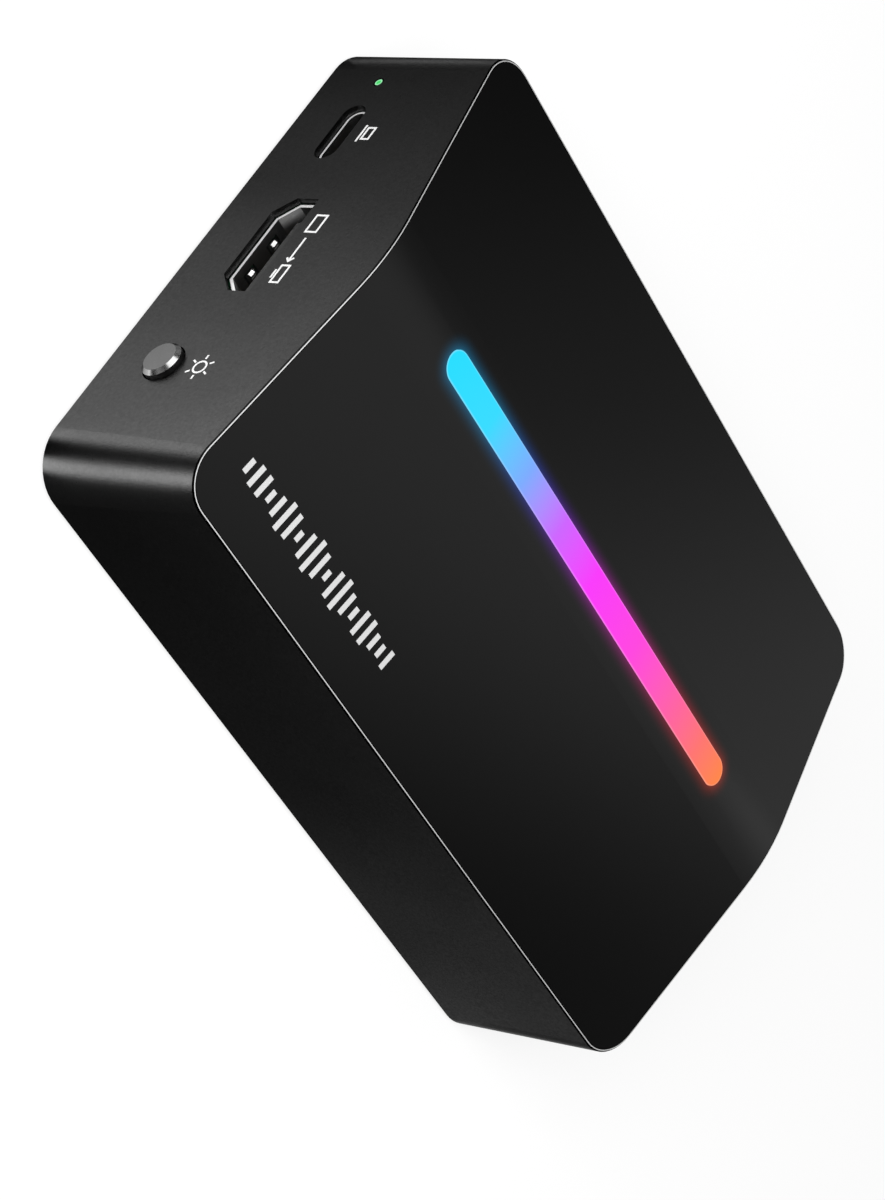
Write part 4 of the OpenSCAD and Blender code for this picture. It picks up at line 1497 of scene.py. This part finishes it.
@dataclass
class Studio:
    """White floor, plain grey world, lamps, cards and the camera."""

    floor_glow: float = 0.76
    floor_tone: float = 0.26
    floor_inner: float = 0.3
    floor_flat: float = 2.2
    floor_rim: float = 2.9
    floor_rise: float = 0.8
    floor_sides: int = 96
    floor_rim_steps: int = 10
    world_level: float = 0.25
    eye: Triple = (-0.22602, -0.17702, 0.26434)
    target: Triple = (-0.00499, -0.00960, 0.01500)
    roll: float = 97.30
    lens: float = 92.30
    clip: float = 0.01
    softboxes: tuple[Softbox, ...] = (
        Softbox("fill_lamp", toward=(-0.42, -0.36, 0.83), distance=0.9, size=(0.6, 0.6), level=3.6),
        Softbox("end_lamp", toward=(-0.78, -0.33, 0.53), distance=0.6, size=(0.4, 0.4), level=4.0),
    )
    cards: tuple[GlossCard, ...] = (
        GlossCard.sheet(
            "end_card", corner=(-55.0, -31.0, 0.3), along=(0.0, 71.0, 0.0), across=(-49.0, 36.8, 0.0),
            levels=((0.0, 3.1), (0.40, 1.7), (0.62, 0.8), (1.0, 0.28)),
        ),
        GlossCard.fan(
            "corner_card", centre=(-51.6, -32.2, 0.3), radii=(2.5, 60.0), turns=(137.0, 323.0),
            levels=(
                (0.0, 3.1), (0.118, 5.0), (0.223, 0.06), (0.373, 0.06),
                (0.478, 6.4), (0.538, 6.4), (0.626, 0.15), (1.0, 0.2),
            ),
        ),
        GlossCard.fan(
            "far_corner_card", centre=(-54.8, 31.6, 0.6), radii=(2.0, 32.0), turns=(50.0, 135.0),
            levels=((0.35, 0.03), (0.475, 8.0), (0.585, 8.0), (0.73, 0.05), (1.0, 0.3)),
        ),
        GlossCard.sheet(
            "side_card", corner=(-49.0, -36.4, 0.3), along=(105.0, 0.0, 0.0), across=(48.0, -36.0, 0.0),
            levels=((0.0, 0.2), (0.45, 0.37), (0.75, 1.0), (1.0, 2.0)),
        ),
        GlossCard(
            "near_roof_card",
            near=tuple((-80.0, y, 130.0) for y in (80.0, -36.0, -98.0, -270.0)),
            far=tuple((200.0, y, 130.0) for y in (86.0, 85.0, 23.0, -150.0)),
            levels=((0.33, 0.56), (0.67, 0.05)),
        ),
        GlossCard(
            "far_roof_card",
            near=((-95.0, 227.0, 2.0), (49.0, 103.0, 2.0), (193.0, -21.0, 2.0)),
            far=((-95.0, 227.0, 300.0), (49.0, 103.0, 125.0), (193.0, -21.0, 75.0)),
            levels=((0.38, 0.04), (0.50, 0.14), (0.66, 0.35), (1.0, 0.41)),
        ),
        GlossCard(
            "ridge_card",
            near=((99.8, 56.6, 77.5), (113.7, 44.7, 67.0)),
            far=((110.5, 47.4, 99.0), (123.4, 36.3, 83.5)),
            levels=((0.0, 0.8), (1.0, 0.8)),
        ),
        GlossCard.sheet(
            "button_card", corner=(-119.0, 33.0, 46.0), along=(-17.0, -68.0, 0.0),
            across=(25.0, -6.0, 31.0), levels=((0.0, 9.0), (1.0, 7.5)),
        ),
    )

    def build(self) -> None:
        """Builds the studio round the box."""
        scene = bpy.context.scene
        scene.view_settings.view_transform = "Standard"
        self.floor()
        self.world()
        for part in (*self.softboxes, *self.cards):
            part.build()
        self.camera()

    def floor(self) -> bpy.types.Object:
        """A round floor that turns up at its rim.

        Returns:
            The floor.
        """
        sides = self.floor_sides
        profile = [(self.floor_inner, 0.0), (self.floor_flat, 0.0)]
        for index in range(1, self.floor_rim_steps + 1):
            share = index / self.floor_rim_steps
            reach = self.floor_flat + (self.floor_rim - self.floor_flat) * share
            profile.append((reach, self.floor_rise * share * share))
        points: list[Triple] = [(0.0, 0.0, 0.0)]
        for radius, height in profile:
            points.extend((x, y, height) for x, y in round_points((0.0, 0.0), radius, sides))
        faces: list[tuple[int, ...]] = [(0, 1 + step, 1 + (step + 1) % sides) for step in range(sides)]
        for ring in range(len(profile) - 1):
            first = 1 + ring * sides
            for step in range(sides):
                after = (step + 1) % sides
                faces.append((first + step, first + sides + step, first + sides + after, first + after))
        mesh = bpy.data.meshes.new("studio_floor")
        mesh.from_pydata(points, [], faces)
        mesh.shade_smooth()
        mesh.materials.append(self.floor_material())
        floor = bpy.data.objects.new("studio_floor", mesh)
        bpy.context.scene.collection.objects.link(floor)
        floor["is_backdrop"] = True
        return floor

    def floor_material(self) -> bpy.types.Material:
        """White paper: a share of its own white, and a share lit by the lamps, which holds the shadow.

        Returns:
            The material.
        """
        material = new_material("white_paper")
        graph = Graph(material.node_tree)
        path = graph.node("ShaderNodeLightPath").outputs
        seen = graph.math("MAXIMUM", path["Is Camera Ray"], path["Is Glossy Ray"])
        seen = graph.math("MAXIMUM", seen, path["Is Transmission Ray"])
        level = graph.math("MULTIPLY", seen, self.floor_glow)
        own = graph.node("ShaderNodeEmission", {"Color": WHITE, "Strength": level})
        lit = graph.node("ShaderNodeBsdfDiffuse", {"Color": grey(self.floor_tone)})
        both = graph.node("ShaderNodeAddShader", {0: own.outputs[0], 1: lit.outputs[0]})
        clear = graph.node("ShaderNodeBsdfTransparent")
        back = graph.node("ShaderNodeNewGeometry").outputs["Backfacing"]
        sheet = graph.node("ShaderNodeMixShader", {0: back, 1: both.outputs[0], 2: clear.outputs[0]})
        graph.node("ShaderNodeOutputMaterial", {"Surface": sheet.outputs[0]})
        return material

    def world(self) -> None:
        """A plain grey world."""
        world = bpy.data.worlds.new("studio_world")
        world.use_nodes = True
        world.node_tree.nodes["Background"].inputs["Color"].default_value = (*grey(self.world_level), 1.0)
        bpy.context.scene.world = world

    def camera(self) -> bpy.types.Object:
        """The camera at the photograph's angle.

        Returns:
            The camera.
        """
        data = bpy.data.cameras.new("camera")
        data.lens = self.lens
        data.clip_start = self.clip
        camera = bpy.data.objects.new("camera", data)
        eye = Vector(self.eye)
        aim = (Vector(self.target) - eye).to_track_quat("-Z", "Y").to_matrix().to_4x4()
        roll = Matrix.Rotation(math.radians(self.roll), 4, "Z")
        camera.matrix_world = Matrix.Translation(eye) @ aim @ roll
        bpy.context.scene.collection.objects.link(camera)
        bpy.context.scene.camera = camera
        return camera


def corners(bounds: tuple[Vector, Vector]) -> list[list[float]]:
    """A box as plain lists of numbers."""
    return [list(corner) for corner in bounds]


def main() -> None:
    """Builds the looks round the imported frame, piece by piece."""
    logging.basicConfig(level=logging.INFO, format="%(message)s")
    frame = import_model()
    solid_box = corners(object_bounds())
    kit = Kit(frame)
    for assembly in (Casing(), LightStrip(), Electronics(), Sockets(), PushButton()):
        assembly.dress(kit)
    Printing().build(kit)
    Studio().build()
    {"solid": solid_box, "dressed": corners(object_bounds())}


if __name__ == "__main__":
    main()
